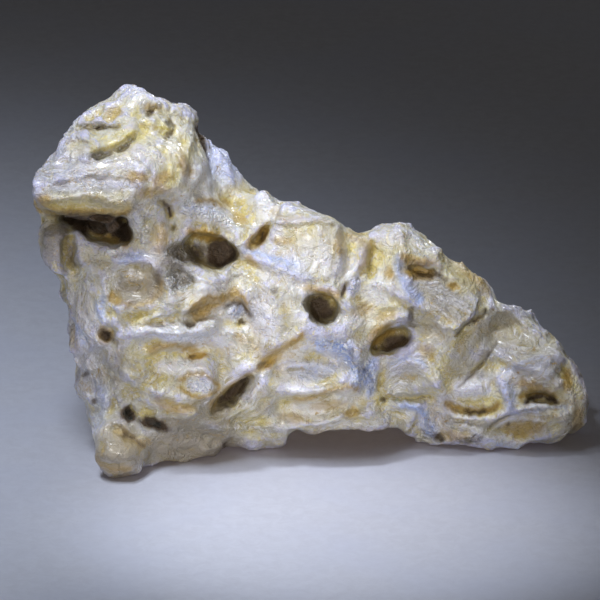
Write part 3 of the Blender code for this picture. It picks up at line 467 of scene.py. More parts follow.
# Thin cracks of the show side: points (u, v), half width and depth.
CRACKS = {
    "over the slit": ([(-40.4, 59.4), (-38.6, 60.1), (-36.4, 60.5), (-34.6, 60.2), (-32.8, 59.6)], 0.45, 1.1),
    "in the crown": ([(-30.2, 61.6), (-29, 60.2), (-28, 59), (-28.3, 57.3)], 0.35, 0.8),
    "beside the tongue": ([(-25, 61), (-23.4, 59.7), (-24, 58.7), (-25.4, 57.8)], 0.45, 1.2),
    "behind the cheek": ([(-19.3, 60), (-18.8, 56), (-18.3, 54), (-17, 51)], 0.5, 1.2),
    "beside the pillar": ([(-25.5, 47.2), (-25, 45.6), (-25.2, 43.6)], 0.4, 2.2),
    "shoulder": (
        [(30, 29), (29.3, 27.5), (28.4, 26.9), (28, 26.2), (26.6, 26.1), (26.1, 25.3), (25, 24.9),
         (23.8, 23.8)],
        0.32, 1.7),
    "shoulder boundary": ([(23.6, 25.2), (22.6, 27), (20.6, 28.1), (18.4, 28.9)], 0.3, 0.6),
    "below the shoulder": ([(23.9, 24), (23.6, 22), (22.4, 19.4)], 0.3, 0.6),
    "lower right": (
        [(31.2, 24.2), (30.2, 22.6), (30, 21.2), (28.6, 20.4), (28.3, 19.1), (27, 18.2), (26.8, 17.1),
         (24.3, 14.8)],
        0.3, 1.5),
    "under the leaf": ([(29.4, 7.2), (31.4, 9.4), (34.2, 10.2)], 0.45, 1.2),
    "honey hollow": ([(-9.2, 18.4), (-8, 20.2), (-5, 21.7), (-1, 23.3)], 0.5, 1),
    "apron": ([(-4.4, 13.7), (0, 14.1), (4, 15.4), (7, 15.7)], 0.3, 0.6),
    "block left": ([(-6.8, 44.2), (-8.4, 42), (-9.6, 39.4), (-10.2, 37.6)], 0.5, 1.5),
    "block right": ([(8.6, 41.2), (9.4, 38), (8.8, 34.6), (6.2, 32.2)], 0.35, 0.6),
    "swirl": ([(14.2, 14.2), (16.4, 13.4), (19.2, 13.7)], 0.4, 0.9),
    "dark mark": ([(16.9, 28.4), (17.2, 26.8), (17.2, 25.2)], 0.5, 0.8),
    "tail end": ([(41, 20.6), (43.6, 19.2), (46, 16.4)], 0.35, 0.7),
    "foot": ([(-30, 12.6), (-30.8, 9.6), (-29.4, 6.4)], 0.4, 0.8),
    "left edge": ([(-33.8, 29), (-34.4, 25.6), (-33.6, 22.6)], 0.4, 0.8),
    "wave": ([(-29.4, 22.2), (-25, 23), (-20.8, 22.2)], 0.45, 0.9),
    "arched pocket": ([(-20.4, 25.8), (-18.8, 27.6), (-16.4, 29.3)], 0.4, 0.9),
    "socket": ([(-34.4, 33.6), (-33.6, 31.4), (-30.8, 30.4)], 0.4, 0.7),
    "ledge": ([(-44.8, 44.9), (-40, 44.6), (-35, 45), (-31, 44.8)], 0.4, 0.9),
    "under the dome": ([(22.4, 12.9), (24.4, 11.5), (27.2, 10.9), (29.8, 11.4), (31.8, 12.9)], 0.45, 1),
    "dome swirl": ([(25.6, 15.2), (27, 16.2), (28.4, 15.2), (27.2, 14.2), (26.2, 14.9)], 0.3, 0.3),
}

# Small holes of the show side, in the same terms as the hollows.
SMALL_HOLES = {
    "crown hole": (-27.4, 62.2, 0.9, 0.7, 20, 1.4, 0.5, 0.2),
    "crystal gap one": (-36.6, 54.9, 2.4, 0.9, -4, 1.8, 0.5, 0.2),
    "crystal gap two": (-31.4, 56, 2.8, 0.8, 28, 1.8, 0.5, 0.2),
    "pillar hole": (-24.2, 42.3, 0.8, 0.7, 0, 1.3, 0.5, 0.2),
    "pocket hole left": (-20.4, 26, 0.8, 0.9, 0, 1.4, 0.5, 0),
    "pocket hole right": (-12, 26.2, 0.8, 0.7, 0, 1.2, 0.5, 0),
    "wave slot": (-20, 20.9, 1.7, 0.55, 8, 1.6, 0.5, 0.2),
    "lens dent": (-6.5, 32.2, 1.3, 0.7, -30, 1.1, 0.6, 0),
    "lens dent two": (-3.4, 35, 0.9, 0.6, -20, 0.8, 0.6, 0),
    "shoulder slit": (21.4, 34.1, 1.5, 0.5, -28, 1.3, 0.5, 0),
    "amber dent": (24, 32.3, 1.1, 0.5, -10, 0.9, 0.6, 0),
    "small arch": (6.5, 11.4, 1.8, 0.8, 5, 0.9, 0.6, 0.2),
    "swirl dark": (13.2, 13.4, 0.8, 0.6, 0, 1, 0.6, 0),
    "bundle end": (21.6, 6.4, 1, 0.9, 0, 1.2, 0.6, 0),
    "leaf pit one": (34, 8.2, 0.5, 0.4, 0, 0.7, 0.6, 0),
    "leaf pit two": (32.2, 7.2, 0.4, 0.35, 0, 0.6, 0.6, 0),
    "knob pit one": (43.4, 15.6, 0.6, 0.5, 0, 0.7, 0.6, 0),
    "knob pit two": (45.4, 12.6, 0.5, 0.5, 0, 0.6, 0.6, 0),
    "left dot one": (-38, 17, 0.5, 0.5, 0, 0.8, 0.6, 0),
    "left dot two": (-37.6, 12.4, 0.5, 0.6, 0, 0.8, 0.6, 0),
    "hem dot": (-15, 4.8, 0.7, 0.5, 0, 0.8, 0.6, 0),
    "white tongue in the mouth": (38.3, 11.9, 2.2, 0.7, -4, -1.9, 0.9, 0),
}

# Where loose strokes are strewn over the other sides: the ranges of u and v there, and how many.
STREWN = {
    "top": ((-44, 44), (6, 36), 46),
    "back": ((-44, 44), (3, 58), 70),
    "right": ((4, 38), (3, 40), 26),
    "left": ((-38, -4), (3, 60), 44),
}

# Stains of the show side, and patches of painted shade and painted light among them, each as ovals (u, v,
# half width, half height, turn, strength) and as lines (points, half width, strength).
STAINS_AND_PAINTED_LIGHT_AND_SHADE = {
    "amber": (
        [
            (-30, 51.4, 2, 1, 0, 0.8), (-26, 51, 1.8, 1.3, 20, 0.8), (-20.8, 51.6, 1.4, 1, -20, 0.6),
            (-27, 48.8, 3.2, 1.2, 0, 0.6), (-22.4, 54, 0.8, 2, 10, 0.7), (-34.4, 62.6, 1.8, 1, 40, 0.5),
            (-27, 63.2, 2.2, 0.8, -10, 0.6), (-18, 41.2, 4, 1.1, -10, 1), (-9, 41, 1.3, 3.2, -30, 0.9),
            (-5, 40.2, 1.6, 1, 0, 0.5), (5, 40, 1.2, 2, 0, 0.5), (1.6, 31.8, 3.4, 0.9, -8, 0.7),
            (-26.6, 40.4, 1.7, 2.4, 0, 0.5), (-33, 30.6, 1.8, 0.8, -20, 0.8),
            (-22.6, 31.2, 1.4, 0.6, 0, 0.4), (-19.6, 20.8, 1.9, 0.8, 6, 1.3),
            (-34.6, 41, 3.6, 1.2, -18, 0.9), (-35.6, 24.4, 1.8, 1.6, 0, 0.8), (-7, 20.3, 2.8, 1.2, 20, 0.9),
            (-23.4, 12, 3.4, 1, -14, 0.7), (6.5, 11.4, 1.8, 0.8, 5, 0.7), (11.4, 24.2, 2.8, 1.5, 24, 0.9),
            (12, 27, 2.4, 0.9, 10, 0.6), (8.4, 28.4, 1.6, 1.2, 0, 0.5), (13.5, 35, 0.9, 1.3, 20, 0.8),
            (18.2, 35, 2.5, 1.2, -12, 1), (17.4, 37.4, 3, 0.9, -8, 0.8), (24, 32.4, 1.4, 0.6, -10, 0.9),
            (18.8, 21.4, 2, 1.3, -30, 0.6), (24, 7, 2.2, 1.1, 0, 0.6), (43.6, 16.6, 1.4, 2.2, 10, 0.8),
            (37.2, 15.3, 2.4, 0.7, -8, 0.8), (36, 7.9, 3.8, 0.8, 6, 0.7), (45.6, 9.6, 1.3, 2.6, 10, 0.6),
            (-46.4, 46.6, 1.8, 1.3, 0, 0.8), (-12.6, 44.6, 1.6, 0.8, -20, 0.7), (2.4, 12.4, 3, 1, 0, 0.5),
            (-35.8, 25.6, 1.2, 1, 0, 0.5), (-3.6, 9.8, 2, 1.2, 0, 0.5), (-10.6, 36.2, 0.9, 1.2, 0, 0.6),
            (6.8, 44, 1.4, 1.4, 0, 0.4), (-41, 24, 1, 3, 0, 0.3),
        ],
        [
            ([(-48.4, 46), (-43, 45.2), (-38, 45.4), (-33, 45.2), (-29.6, 46.2)], 0.9, 0.9),
            ([(-20.6, 47), (-17.6, 47.3), (-14, 46.4)], 0.6, 0.8),
            ([(-20.6, 25.6), (-18.6, 29), (-15, 30.6), (-12, 29.8), (-10.6, 28)], 0.5, 0.8),
            ([(6, 42.4), (8.4, 40), (8.3, 36), (7, 34.4)], 0.9, 0.6),
            ([(-29, 21.4), (-26, 22.3), (-23, 22.4), (-19, 21.6)], 0.7, 0.8),
            ([(-23.4, 56.4), (-21.4, 53.4), (-20.2, 51.6)], 0.8, 0.6),
            ([(-22.8, 15.5), (-19.5, 17.6), (-16.2, 15.5), (-19.5, 13.4), (-22.8, 15.5)], 0.45, 0.8),
            ([(-18, 11.6), (-14.2, 15.4), (-9.4, 19)], 0.8, 0.8),
            ([(-33, 8.6), (-31.2, 7), (-29.2, 4.6)], 0.9, 0.6),
            ([(-9.4, 20.8), (-5, 22.4), (-0.6, 24.6)], 0.8, 1),
            ([(-20.6, 27.2), (-17.4, 30.2), (-13.4, 31.4), (-10.4, 29.6)], 0.6, 0.9),
            ([(22.2, 12.9), (24.4, 11.7), (27.2, 11.1), (29.8, 11.6), (31.9, 13)], 0.6, 1),
            ([(34.8, 13.2), (38, 15), (42, 13.4)], 0.6, 0.8),
            ([(-33.6, 30.4), (-30, 29.6), (-27, 31.4), (-26, 34)], 0.5, 0.6),
            ([(-4.4, 13.4), (0, 13.8), (4, 15), (7.6, 15.2)], 0.6, 0.7),
            ([(-14, 24), (-10, 22.6), (-8.6, 19.6)], 0.8, 0.4),
            ([(-7, 46.6), (-4, 44.6), (-1, 44.4)], 0.7, 0.4),
            ([(22, 39), (27, 35), (31, 31.4)], 1.2, 0.5),
            ([(-36.6, 4), (-35, 1.4), (-31, 1)], 0.8, 0.6),
            ([(-3, 7.6), (3, 8), (9, 7.4), (14, 7.4)], 0.6, 0.4),
        ],
    ),
    "pearl": (
        [
            (-42, 54, 5, 6, 30, 0.6), (-38, 50, 8, 2.6, 0, 0.4), (-20, 45.4, 8, 1.8, -15, 0.3),
            (-6, 35.4, 6, 3, -20, 0.35), (7.3, 32.4, 1.6, 1.5, 0, 0.9), (-9, 28, 2.6, 5, 0, 0.6),
            (-38.6, 22, 3.4, 10, 4, 0.6), (-29, 37.6, 5, 2, 0, 0.6), (-2, 18.4, 5, 1.8, 0, 0.5),
            (16.4, 33, 2.6, 5, 0, 0.2), (22, 11, 3, 4.4, -30, 0.5), (35, 9.6, 7, 1.6, 5, 0.4),
            (35, 16.6, 5, 1.8, 10, 0.5), (-15, 55, 3.6, 5, 20, 0.6), (-27, 25, 6, 1.4, 0, 0.5),
            (22, 31, 5, 3, -36, 0.3), (4, 22, 4, 2.4, -30, 0.6), (27, 15.4, 3.6, 2.4, 0, 0.5),
            (-30, 46, 3, 1.6, 0, 0.4), (-33, 3, 3, 2.4, 0, 0.4), (15.4, 18.6, 4, 2, 0, 0.4),
            (-32, 54, 4, 1.6, 10, 0.4), (-38, 49.6, 8.4, 1.3, 4, 0.9),
        ],
        [
            ([(-46.6, 50), (-45, 54), (-41, 58.4)], 1.6, 0.6),
            ([(-24, 22), (-18, 23), (-13, 21.4)], 1, 0.5),
            ([(28, 24), (31, 26), (34, 28)], 1.4, 0.3),
        ],
    ),
    "yellow": (
        [
            (-31, 57, 6, 4, 20, 0.35), (-23, 54, 4.4, 5, -20, 0.4), (-18, 48.6, 5, 2.4, -20, 0.4),
            (0, 41, 6.4, 3, -8, 0.35), (13, 38, 5, 5.4, 0, 0.35), (24, 35, 5.4, 3, -40, 0.45),
            (-8, 10.4, 5.4, 4.4, 0, 0.4), (1, 12, 8.4, 3, 0, 0.35), (-33, 6, 3.4, 3.4, 0, 0.25),
            (43, 13, 4.4, 5.4, 0, 0.4), (-21, 28, 3, 2.4, 0, 0.25), (11, 26, 3.4, 3, 20, 0.45),
            (-13, 12, 3, 5, -40, 0.3), (34, 24, 4.4, 3, -30, 0.2), (-14, 44, 2.4, 1.1, -14, 0.8),
            (-9, 9.4, 3.2, 1.8, -10, 0.9), (-3, 10.4, 3.2, 1.5, 0, 0.6), (25.6, 34.4, 3.4, 1.5, -42, 0.6),
            (-31, 57.6, 3, 1, 30, 0.6), (-40, 56, 2.4, 1.2, 30, 0.4), (2.4, 30.9, 3, 0.8, -8, 0.6),
            (16, 38.6, 3.2, 1.6, -10, 0.6), (43.4, 13.4, 2, 2.6, 0, 0.5), (-26, 60.2, 2, 1, -20, 0.7),
            (-23, 50, 3.2, 2.4, 0, 0.5), (-32, 48, 3, 1, 0, 0.2), (-29.8, 27, 1.6, 1.6, 0, 0.4),
            (-24.6, 16.4, 2, 2, 0, 0.4), (3.2, 43.6, 2.6, 1, -14, 0.5), (12, 29.2, 3.4, 1.6, 10, 0.5),
            (28.6, 12.8, 2.8, 0.9, 0, 0.6), (-11.4, 12.4, 2, 1.8, 30, 0.5), (0, 16.6, 4.4, 0.8, 6, 0.4),
            (-17.6, 26.8, 2.4, 1.2, 0, 0.3), (44.4, 6.8, 2.4, 0.8, 14, 0.5),
        ],
        [
            ([(-38.4, 55.9), (-34.6, 56.5), (-31.6, 57.6), (-29.4, 58.8)], 0.9, 1),
            ([(-29, 60.9), (-25.4, 59.8), (-23, 58.8)], 0.8, 0.9),
            ([(-24.4, 56.6), (-22.6, 53), (-20, 50.2)], 0.9, 0.5),
            ([(-31.4, 22.4), (-28, 20.8), (-24, 20.6)], 0.8, 0.6),
            ([(-47.4, 47.2), (-42, 46.4), (-36, 46.6)], 0.7, 0.6),
            ([(-48.2, 46.2), (-43, 45.9), (-38, 46), (-33, 46), (-29.6, 46.6)], 1.3, 0.9),
            ([(-34, 33.8), (-31.6, 36), (-29, 35.6)], 0.5, 0.8),
        ],
    ),
    # Dark: the black pits and streaks and other dark marks, and painted shade in the caves, holes, slots,
    # cracks and gaps.
    "dark_marks_and_painted_shade": (
        [
            (-37, 43.3, 6.6, 2.1, -6, 1.3), (-15.6, 38, 3.6, 2.6, -24, 1.2), (1.4, 28.9, 3, 2.3, -12, 1.1),
            (14, 22.9, 3.2, 1.3, 22, 1.1), (-13.4, 14.4, 4.6, 1, 42, 1), (18.8, 34.6, 2, 0.8, -14, 0.8),
            (-35.7, 24.4, 1.2, 1.1, 0, 1.2), (-30.8, 11.2, 1.6, 1.2, -30, 1.5), (-27, 9, 2.7, 1.1, -26, 1.4),
            (-22, 38, 2.6, 1.3, -8, 0.7), (-32.8, 42.2, 2.6, 2.2, -10, 1.2), (-20, 38.4, 2.6, 2, -14, 0.9),
            (-28, 32.2, 1.8, 1.5, -20, 0.35), (5.2, 32, 0.7, 1.1, -20, 1), (21.6, 6.4, 1.1, 1, 0, 0.9),
            (-23.4, 36, 1.8, 1.2, 0, 0.5), (21.6, 34, 1.7, 0.5, -28, 0.8), (-20.4, 20.7, 0.8, 0.4, 8, 0.7),
            (-8.4, 20.2, 1, 0.6, 20, 0.7), (-20.4, 26, 0.7, 0.8, 0, 0.8), (-12, 26.1, 0.7, 0.6, 0, 0.8),
            (-27.4, 62.2, 0.8, 0.6, 20, 0.9), (-38, 17, 0.5, 0.5, 0, 0.8), (-37.8, 12.5, 0.5, 0.6, 0, 0.8),
            (-15, 4.8, 0.8, 0.5, 0, 0.8), (-9.2, 40, 0.7, 1.8, -30, 0.6), (-24.2, 42.3, 0.6, 0.6, 0, 0.8),
            (13.2, 13.4, 0.7, 0.5, 0, 0.8), (26.8, 6, 2.2, 0.9, 0, 0.5), (-6.5, 32.1, 0.9, 0.5, -30, 0.7),
            (34, 8.2, 0.5, 0.4, 0, 0.8), (32.2, 7.2, 0.4, 0.4, 0, 0.8), (-34.4, 23.6, 0.9, 0.6, -20, 0.6),
        ],
        [
            ([(-43.2, 44), (-41.6, 39), (-40.6, 35)], 1.2, 0.7),
            ([(-22.4, 37.6), (-25.2, 36.6), (-26.4, 34.6), (-26.8, 32.4)], 0.8, 0.6),
            ([(-16.2, 29.2), (-13.6, 30), (-11.4, 29), (-10, 27.2)], 0.5, 0.9),
            ([(5.4, 22.2), (7.6, 19.6), (9, 16.4), (9.9, 13.6)], 0.4, 0.5),
            ([(-29.4, 10.2), (-27, 9), (-24.8, 8)], 0.8, 0.9),
            ([(-32.2, 8), (-30.8, 6.6), (-29.4, 4.8)], 0.5, 0.8),
            ([(36, 12.2), (37.2, 13.6), (38.9, 14.1), (40.6, 13.3), (42, 11.8)], 0.55, 1.3),
            ([(25.8, 11.2), (27.4, 10.8), (29, 11.1)], 0.35, 1),
            ([(17, 28.5), (17.3, 25.3)], 0.6, 0.7),
            ([(40.4, 24.4), (44, 20.4), (47, 16.6)], 0.6, 0.8),
            ([(30, 29), (28.6, 26.8), (26.4, 25.9), (23.8, 23.8)], 0.4, 0.9),
            ([(31, 24), (29.6, 21.2), (27.2, 17.6), (24.5, 15)], 0.35, 0.8),
            ([(29.4, 7.4), (31.5, 9.5), (34, 10.3)], 0.5, 0.7),
            ([(-40.2, 59.4), (-36.4, 60.4), (-32.8, 59.6)], 0.4, 0.7),
            ([(-25, 60.8), (-23.6, 59.6), (-24.6, 58.4)], 0.4, 0.8),
            ([(-19.7, 60.6), (-18.9, 57.5), (-18.3, 54), (-17.4, 51.6)], 0.6, 1.2),
            ([(-25.4, 47), (-25, 44)], 0.35, 0.9),
            ([(22, 10), (27, 8.6), (32, 8.4)], 0.6, 0.35),
        ],
    ),
    "blue": (
        [
            (18.3, 30, 0.9, 1.4, 0, 0.9), (-35.5, 29, 1.2, 2.4, 10, 0.5), (-40, 25, 1.1, 2.4, 0, 0.45),
            (-16, 54, 3.4, 4.4, 20, 0.4), (-31, 38, 2.4, 1, 10, 0.5), (0, 18, 4.4, 1.6, 10, 0.35),
            (-6, 36, 4.4, 1.4, -22, 0.25), (-36.4, 12, 1.4, 4, 6, 0.3), (8.4, 17, 1.4, 2.6, -30, 0.8),
            (20.4, 7.6, 1.1, 1.6, -30, 0.7), (33.6, 14, 1.2, 2.4, 0, 0.35),
            (-22.4, 24.2, 5.4, 0.9, -3, 0.25), (-13, 28.4, 1.9, 1.5, 0, 0.5), (22, 30.6, 3.6, 1.6, -36, 0.2),
            (7.2, 32.4, 1.4, 1.3, 0, 0.2), (-19.5, 15.5, 1.6, 1, 0, 0.35), (-7, 11.6, 1.6, 2.2, 20, 0.3),
        ],
        [
            ([(0.4, 23), (3.6, 22.4), (6.6, 20.2), (8.6, 17), (10, 13)], 1.1, 0.9),
            ([(8.4, 18), (10.6, 20.4)], 0.7, 0.6),
            ([(14.4, 38.6), (16, 33.4), (17.8, 29.2)], 1.1, 0.6),
            ([(14.6, 12.8), (18, 10.4), (21.4, 6.4)], 0.8, 0.8),
            ([(32, 17), (36, 18.6), (41, 19.6)], 0.7, 0.4),
            ([(33, 10.8), (39, 11.2), (44.6, 12)], 0.5, 0.4),
            ([(29.6, 5), (34, 5.2), (39.6, 6.4)], 0.6, 0.4),
            ([(12.4, 18.2), (16, 19.8), (20, 18)], 0.5, 0.4),
            ([(-24, 45.6), (-20, 46), (-15.6, 44.8), (-12, 42)], 0.9, 0.35),
            ([(-12, 38.6), (-7, 36.8), (-2, 35.4)], 0.6, 0.6),
        ],
    ),
    # White: white crystals and bands, and painted light on folds that lie in shade, such as the foot of the
    # apron, behind the cheek, beside the block and the end of the knob.
    "white": (
        [
            (-19.5, 15.5, 1.8, 1.1, 0, 0.9), (27, 15, 2.8, 1.9, 0, 0.5), (0, 37.4, 5.4, 3.2, -8, 0.6),
            (10.8, 31, 2.2, 2.2, 0, 0.8), (12, 41, 2.4, 1.4, 0, 0.5), (-33.6, 38.6, 1.8, 1.4, 0, 0.7),
            (-14, 23.4, 3.4, 1.4, -10, 0.6), (-8.4, 24.6, 1.6, 3, 0, 0.4), (-7, 30, 2.6, 2.4, 0, 0.2),
            (-17, 50, 4, 2, -30, 0.5), (-8, 47, 3, 1.4, -10, 0.6), (-40, 49.6, 4, 1.4, 0, 0.3),
            (44, 10.6, 2.2, 4, 0, 0.5), (39, 16.6, 3, 1.4, 10, 0.4), (34.4, 5.8, 3.4, 1, 4, 0.5),
            (-4.6, 9, 3, 2.4, 0, 0.5), (-31, 1.4, 3, 1.2, 0, 0.4), (3.4, 21, 2.4, 1.8, -30, 0.5),
            (-29, 53.8, 3, 1.4, 0, 0.5), (-3.4, 16, 2.6, 2, 0, 0.7), (-11, 14, 1.8, 1.2, 30, 0.6),
            (3, 9.6, 3, 1, 0, 0.5), (18, 40, 2.4, 1.2, -30, 0.4), (20.6, 24.8, 2.6, 1.8, -30, 0.45),
            (-22.6, 31, 2.8, 0.8, 0, 0.7), (-13.8, 28, 2, 1.5, 0, 0.8), (38.2, 12, 1.9, 0.6, -4, 0.9),
            (-17.4, 26.5, 2.4, 0.8, 4, 0.8), (-30.5, 65, 1, 1.6, 0, 0.5), (5, 20, 1.8, 1.4, -30, 0.4),
            (-24, 57, 1.6, 1.6, 0, 0.4), (-32.4, 35.4, 2.6, 1.3, -22, 0.9), (-22.6, 18.8, 5.4, 1.8, 0, 0.8),
            (-22.4, 30.4, 2.8, 1, 0, 0.9), (-16, 28.6, 4.4, 2, 13, 0.9), (-17, 25, 4, 1, 2, 0.8),
            (-19, 49.8, 3.8, 2.6, -30, 0.9), (-21.6, 24.4, 4.4, 1.6, 0, 0.8), (-3, 21.4, 3.4, 1.4, 20, 0.6),
            (-17.4, 45.2, 4.6, 1.2, -16, 0.7), (4.6, 35.6, 2.4, 2.4, 0, 0.6), (-19.6, 26.4, 2.6, 1, 20, 0.7),
            (-24, 25.2, 5, 1, 0, 0.8), (-19, 46.8, 5, 1.4, -18, 0.9), (-17, 31.8, 3.4, 1.2, 12, 0.8),
            (-0.6, 11.6, 4.4, 2, 4, 0.8), (5.4, 13.4, 3, 1.6, 0, 0.6), (-12.6, 16.8, 1.6, 1.2, 40, 0.6),
            (26.4, 14.8, 2.6, 1.6, 0, 0.5), (-6, 45, 4, 1, -16, 0.5), (8, 27, 3, 2.4, 0, 0.5),
            (-3, 30, 2.6, 3.4, 0, 0.4), (12.6, 33.6, 1.8, 3.4, 0, 0.5), (-9.6, 16, 1.6, 2, 0, 0.4),
        ],
        [
            ([(1, 23), (4, 22.2), (6.8, 20), (8.8, 17), (10, 13.4)], 1.6, 0.4),
            ([(-31, 24.2), (-27, 25), (-22, 24), (-17.6, 24.4)], 0.9, 0.8),
            ([(-24, 44.6), (-20, 44.9), (-16, 43.8), (-12.8, 41.6)], 0.8, 0.6),
            ([(-20, 33.6), (-16, 33), (-12, 33.4)], 0.7, 0.7),
            ([(-4, 18.8), (0, 19.2), (4, 18)], 0.6, 0.6),
            ([(15.4, 12), (19, 8.6)], 0.5, 0.6),
            ([(-26, 30.2), (-22, 30.2), (-18.8, 31.8)], 0.7, 0.6),
        ],
    ),
    # Grey: grey crystals and patches, and painted shade on the underside, the foot, the left side and in the
    # eye socket.
    "grey_and_painted_shade": (
        [
            (-36.8, 55, 2.3, 0.8, -4, 0.9), (-31.4, 56, 2.7, 0.7, 28, 0.9), (-29, 63.4, 1.2, 1.2, 0, 0.7),
            (-45, 40, 2.6, 4.8, 0, 0.45), (-22.6, 34.2, 3.2, 2.8, -12, 1.1), (-23.4, 38, 2.6, 2, 0, 0.7),
            (-32.2, 47.4, 3.4, 2, 0, 0.5), (-26.6, 33.4, 1.6, 2.6, -20, 0.5), (24.6, 31, 2.6, 1.8, -36, 0.4),
            (-38.4, 48.7, 8.4, 1.5, 3, 0.7), (-46.4, 52.4, 2.4, 2.4, 0, 0.5), (38.4, 21, 2.4, 2.2, -30, 0.5),
            (29, 16.8, 1.8, 1.4, 0, 0.4), (-4, 31, 3, 2.4, 0, 0.35), (-28.6, 33.4, 2.4, 2.4, -20, 0.6),
            (-13.4, 28.2, 2.2, 1.5, 8, 0.45), (-19.4, 28.2, 1.6, 0.9, 50, 0.6), (-30, 33, 4.4, 3.4, -8, 0.7),
            (-22, 8, 8, 2.6, -6, 0.9), (36, 22, 6.4, 4.4, -30, 0.5), (-10.4, 29.6, 2.6, 3.4, 0, 0.4),
            (-18, 11, 4, 2, -24, 0.6), (-5.4, 26.4, 2.6, 2, 0, 0.3), (-21, 4.6, 10, 2.8, -4, 0.9),
            (-31, 8.6, 3, 2.4, 0, 0.6), (-12.4, 8.4, 2.4, 3.4, 0, 0.4), (-33.4, 3.4, 3.6, 4.4, 0, 0.9),
            (33, 27, 3.4, 2, -30, 0.5), (31, 24, 3, 4, -30, 0.4), (16, 16.6, 4, 2.4, 0, 0.5),
            (-34, 16, 4.4, 9, 4, 0.35), (-33.6, 3.6, 3.4, 3.4, 0, 0.35), (-21, 5, 9, 1.6, -4, 0.4),
            (21.4, 31, 4.4, 2.6, -36, 0.45), (30, 22.6, 2.6, 3.6, -30, 0.5), (-37, 19, 2.4, 8, 4, 0.35),
            (1.6, 28.2, 2.8, 2, 0, 0.5), (25.4, 19.4, 2.2, 3.4, -30, 0.45), (28, 7, 5, 1.6, 0, 0.5),
            (-28, 43, 1.3, 3, 0, 0.4), (18, 26.4, 2.8, 1.8, 0, 0.35), (-2.6, 34.6, 3, 1, -14, 0.3),
            (34.8, 28.2, 2, 1.2, 0, 0.4), (-33.4, 4.4, 3, 3.4, 0, 0.3), (-39.6, 53, 3.4, 1.4, 30, 0.25),
        ],
        [
            ([(-29.4, 6.4), (-24, 6), (-16, 5), (-10, 4.6)], 1.2, 0.5),
            ([(15, 7.8), (19, 5.4), (24, 4.6)], 0.8, 0.4),
        ],
    ),
    # Tan: beige patches, and painted shade on the underside, the foot and the left side.
    "tan_and_painted_shade": (
        [
            (21.6, 30.4, 5.6, 3, -36, 0.55), (20.4, 24.8, 3, 2.4, -30, 0.4), (34.6, 22.8, 7, 4, -32, 0.45),
            (1.4, 39.6, 5.4, 4, -8, 0.25), (-33.2, 4, 3.8, 4.4, 0, 0.9), (-21, 4.8, 10, 3.2, -4, 0.9),
            (-22, 8.4, 6, 2, -14, 0.6), (-30, 33.2, 4.4, 3.4, -8, 0.8), (25, 35, 4, 1.6, -42, 0.4),
            (-33, 46.2, 4.4, 1.4, 0, 0.5), (-18, 11, 4, 1.8, -24, 0.6), (-26, 37, 3, 1.6, -20, 0.4),
            (-32, 9.6, 3, 2.6, 0, 0.5), (-33.4, 20.6, 2, 3, 0, 0.5), (-33.8, 17, 0.9, 0.8, 0, 0.9),
            (-38.6, 28.6, 2, 3, 0, 0.3), (-36.4, 34.6, 2.4, 3.4, 0, 0.3), (-45, 40, 2.6, 4.8, 0, 0.4),
            (-38, 60.2, 2, 1.6, 30, 0.4), (42, 12, 3.4, 4, 0, 0.2), (-28.6, 32, 2.4, 1.8, -20, 0.5),
            (26.6, 21.6, 2.6, 4.4, -34, 0.3), (-5.4, 26.6, 2, 1.6, 0, 0.3), (-26.4, 41.6, 1.2, 2.4, 0, 0.5),
            (-9, 12.4, 1.6, 3, -20, 0.4),
        ],
        [],
    ),
    "polish": (
        [
            (-30.6, 33.6, 4.4, 3.4, -8, 1), (-22.4, 30.6, 3.2, 1.4, 0, 0.9), (-23, 22.6, 8, 2.2, 0, 0.8),
            (-20, 16, 5, 4, 0, 0.6), (-33.2, 4.4, 4, 4.4, 0, 1), (-22, 4.6, 9, 3, -4, 0.7),
            (-6.6, 35, 4.4, 2.8, -24, 0.7), (-0.6, 38.6, 6.6, 5, -8, 0.7), (1.6, 32, 4, 1.4, 0, 0.9),
            (-14.6, 54.6, 3, 4.6, 20, 0.9), (-26.5, 41.8, 1.6, 3, 0, 0.9), (-33, 49.4, 6, 2.4, 4, 0.5),
            (-34, 56.8, 4.4, 1.2, 16, 0.9), (26.8, 14.6, 3.6, 2.6, 0, 1), (35, 22.6, 7.4, 4, -32, 0.8),
            (27, 22, 2.6, 5, -32, 0.7), (21.4, 30.6, 6, 3.2, -36, 0.7), (10.4, 25.4, 3, 2.4, 24, 0.7),
            (16.4, 17.4, 4.6, 2.8, 0, 0.8), (45, 12.4, 2.4, 5.4, 4, 0.7), (7.3, 32.5, 1.5, 1.4, 0, 1),
            (13.4, 39.4, 3.6, 3, 0, 0.6), (-1, 16.6, 5, 2.6, 0, 0.6), (-37.4, 20, 2.6, 12, 4, 0.4),
            (-24, 60, 3, 1.6, -20, 0.6), (1, 11.4, 5, 2, 0, 0.5),
        ],
        [
            ([(-18.8, 12.4), (-14.4, 17), (-9.2, 20.4), (-5, 23), (-0.4, 25.4)], 1.8, 0.9),
            ([(-13.2, 32.8), (-10.4, 29.4), (-8.2, 25.4), (-8.8, 21.4)], 2, 0.8),
            ([(-47.4, 46.4), (-38, 46), (-30, 46.6)], 1.8, 1),
            ([(-24, 45), (-17, 44.6), (-12.4, 41.6)], 1.4, 0.6),
        ],
    ),
    "druse": (
        [
            (-19.5, 15.5, 1.8, 1.1, 0, 1), (-13.4, 28.4, 2.6, 1.4, 0, 0.9), (-36.8, 55, 2.2, 0.7, -4, 0.8),
            (-31.4, 56.1, 2.6, 0.6, 28, 0.8), (-23, 33.2, 2.8, 1.9, 0, 0.9), (-23.2, 38, 2.4, 2, 0, 0.8),
            (7.3, 32.5, 1.2, 1.1, 0, 1), (8.4, 17.4, 1.3, 2.6, -30, 1), (-34.6, 23.8, 1.2, 0.7, 0, 0.8),
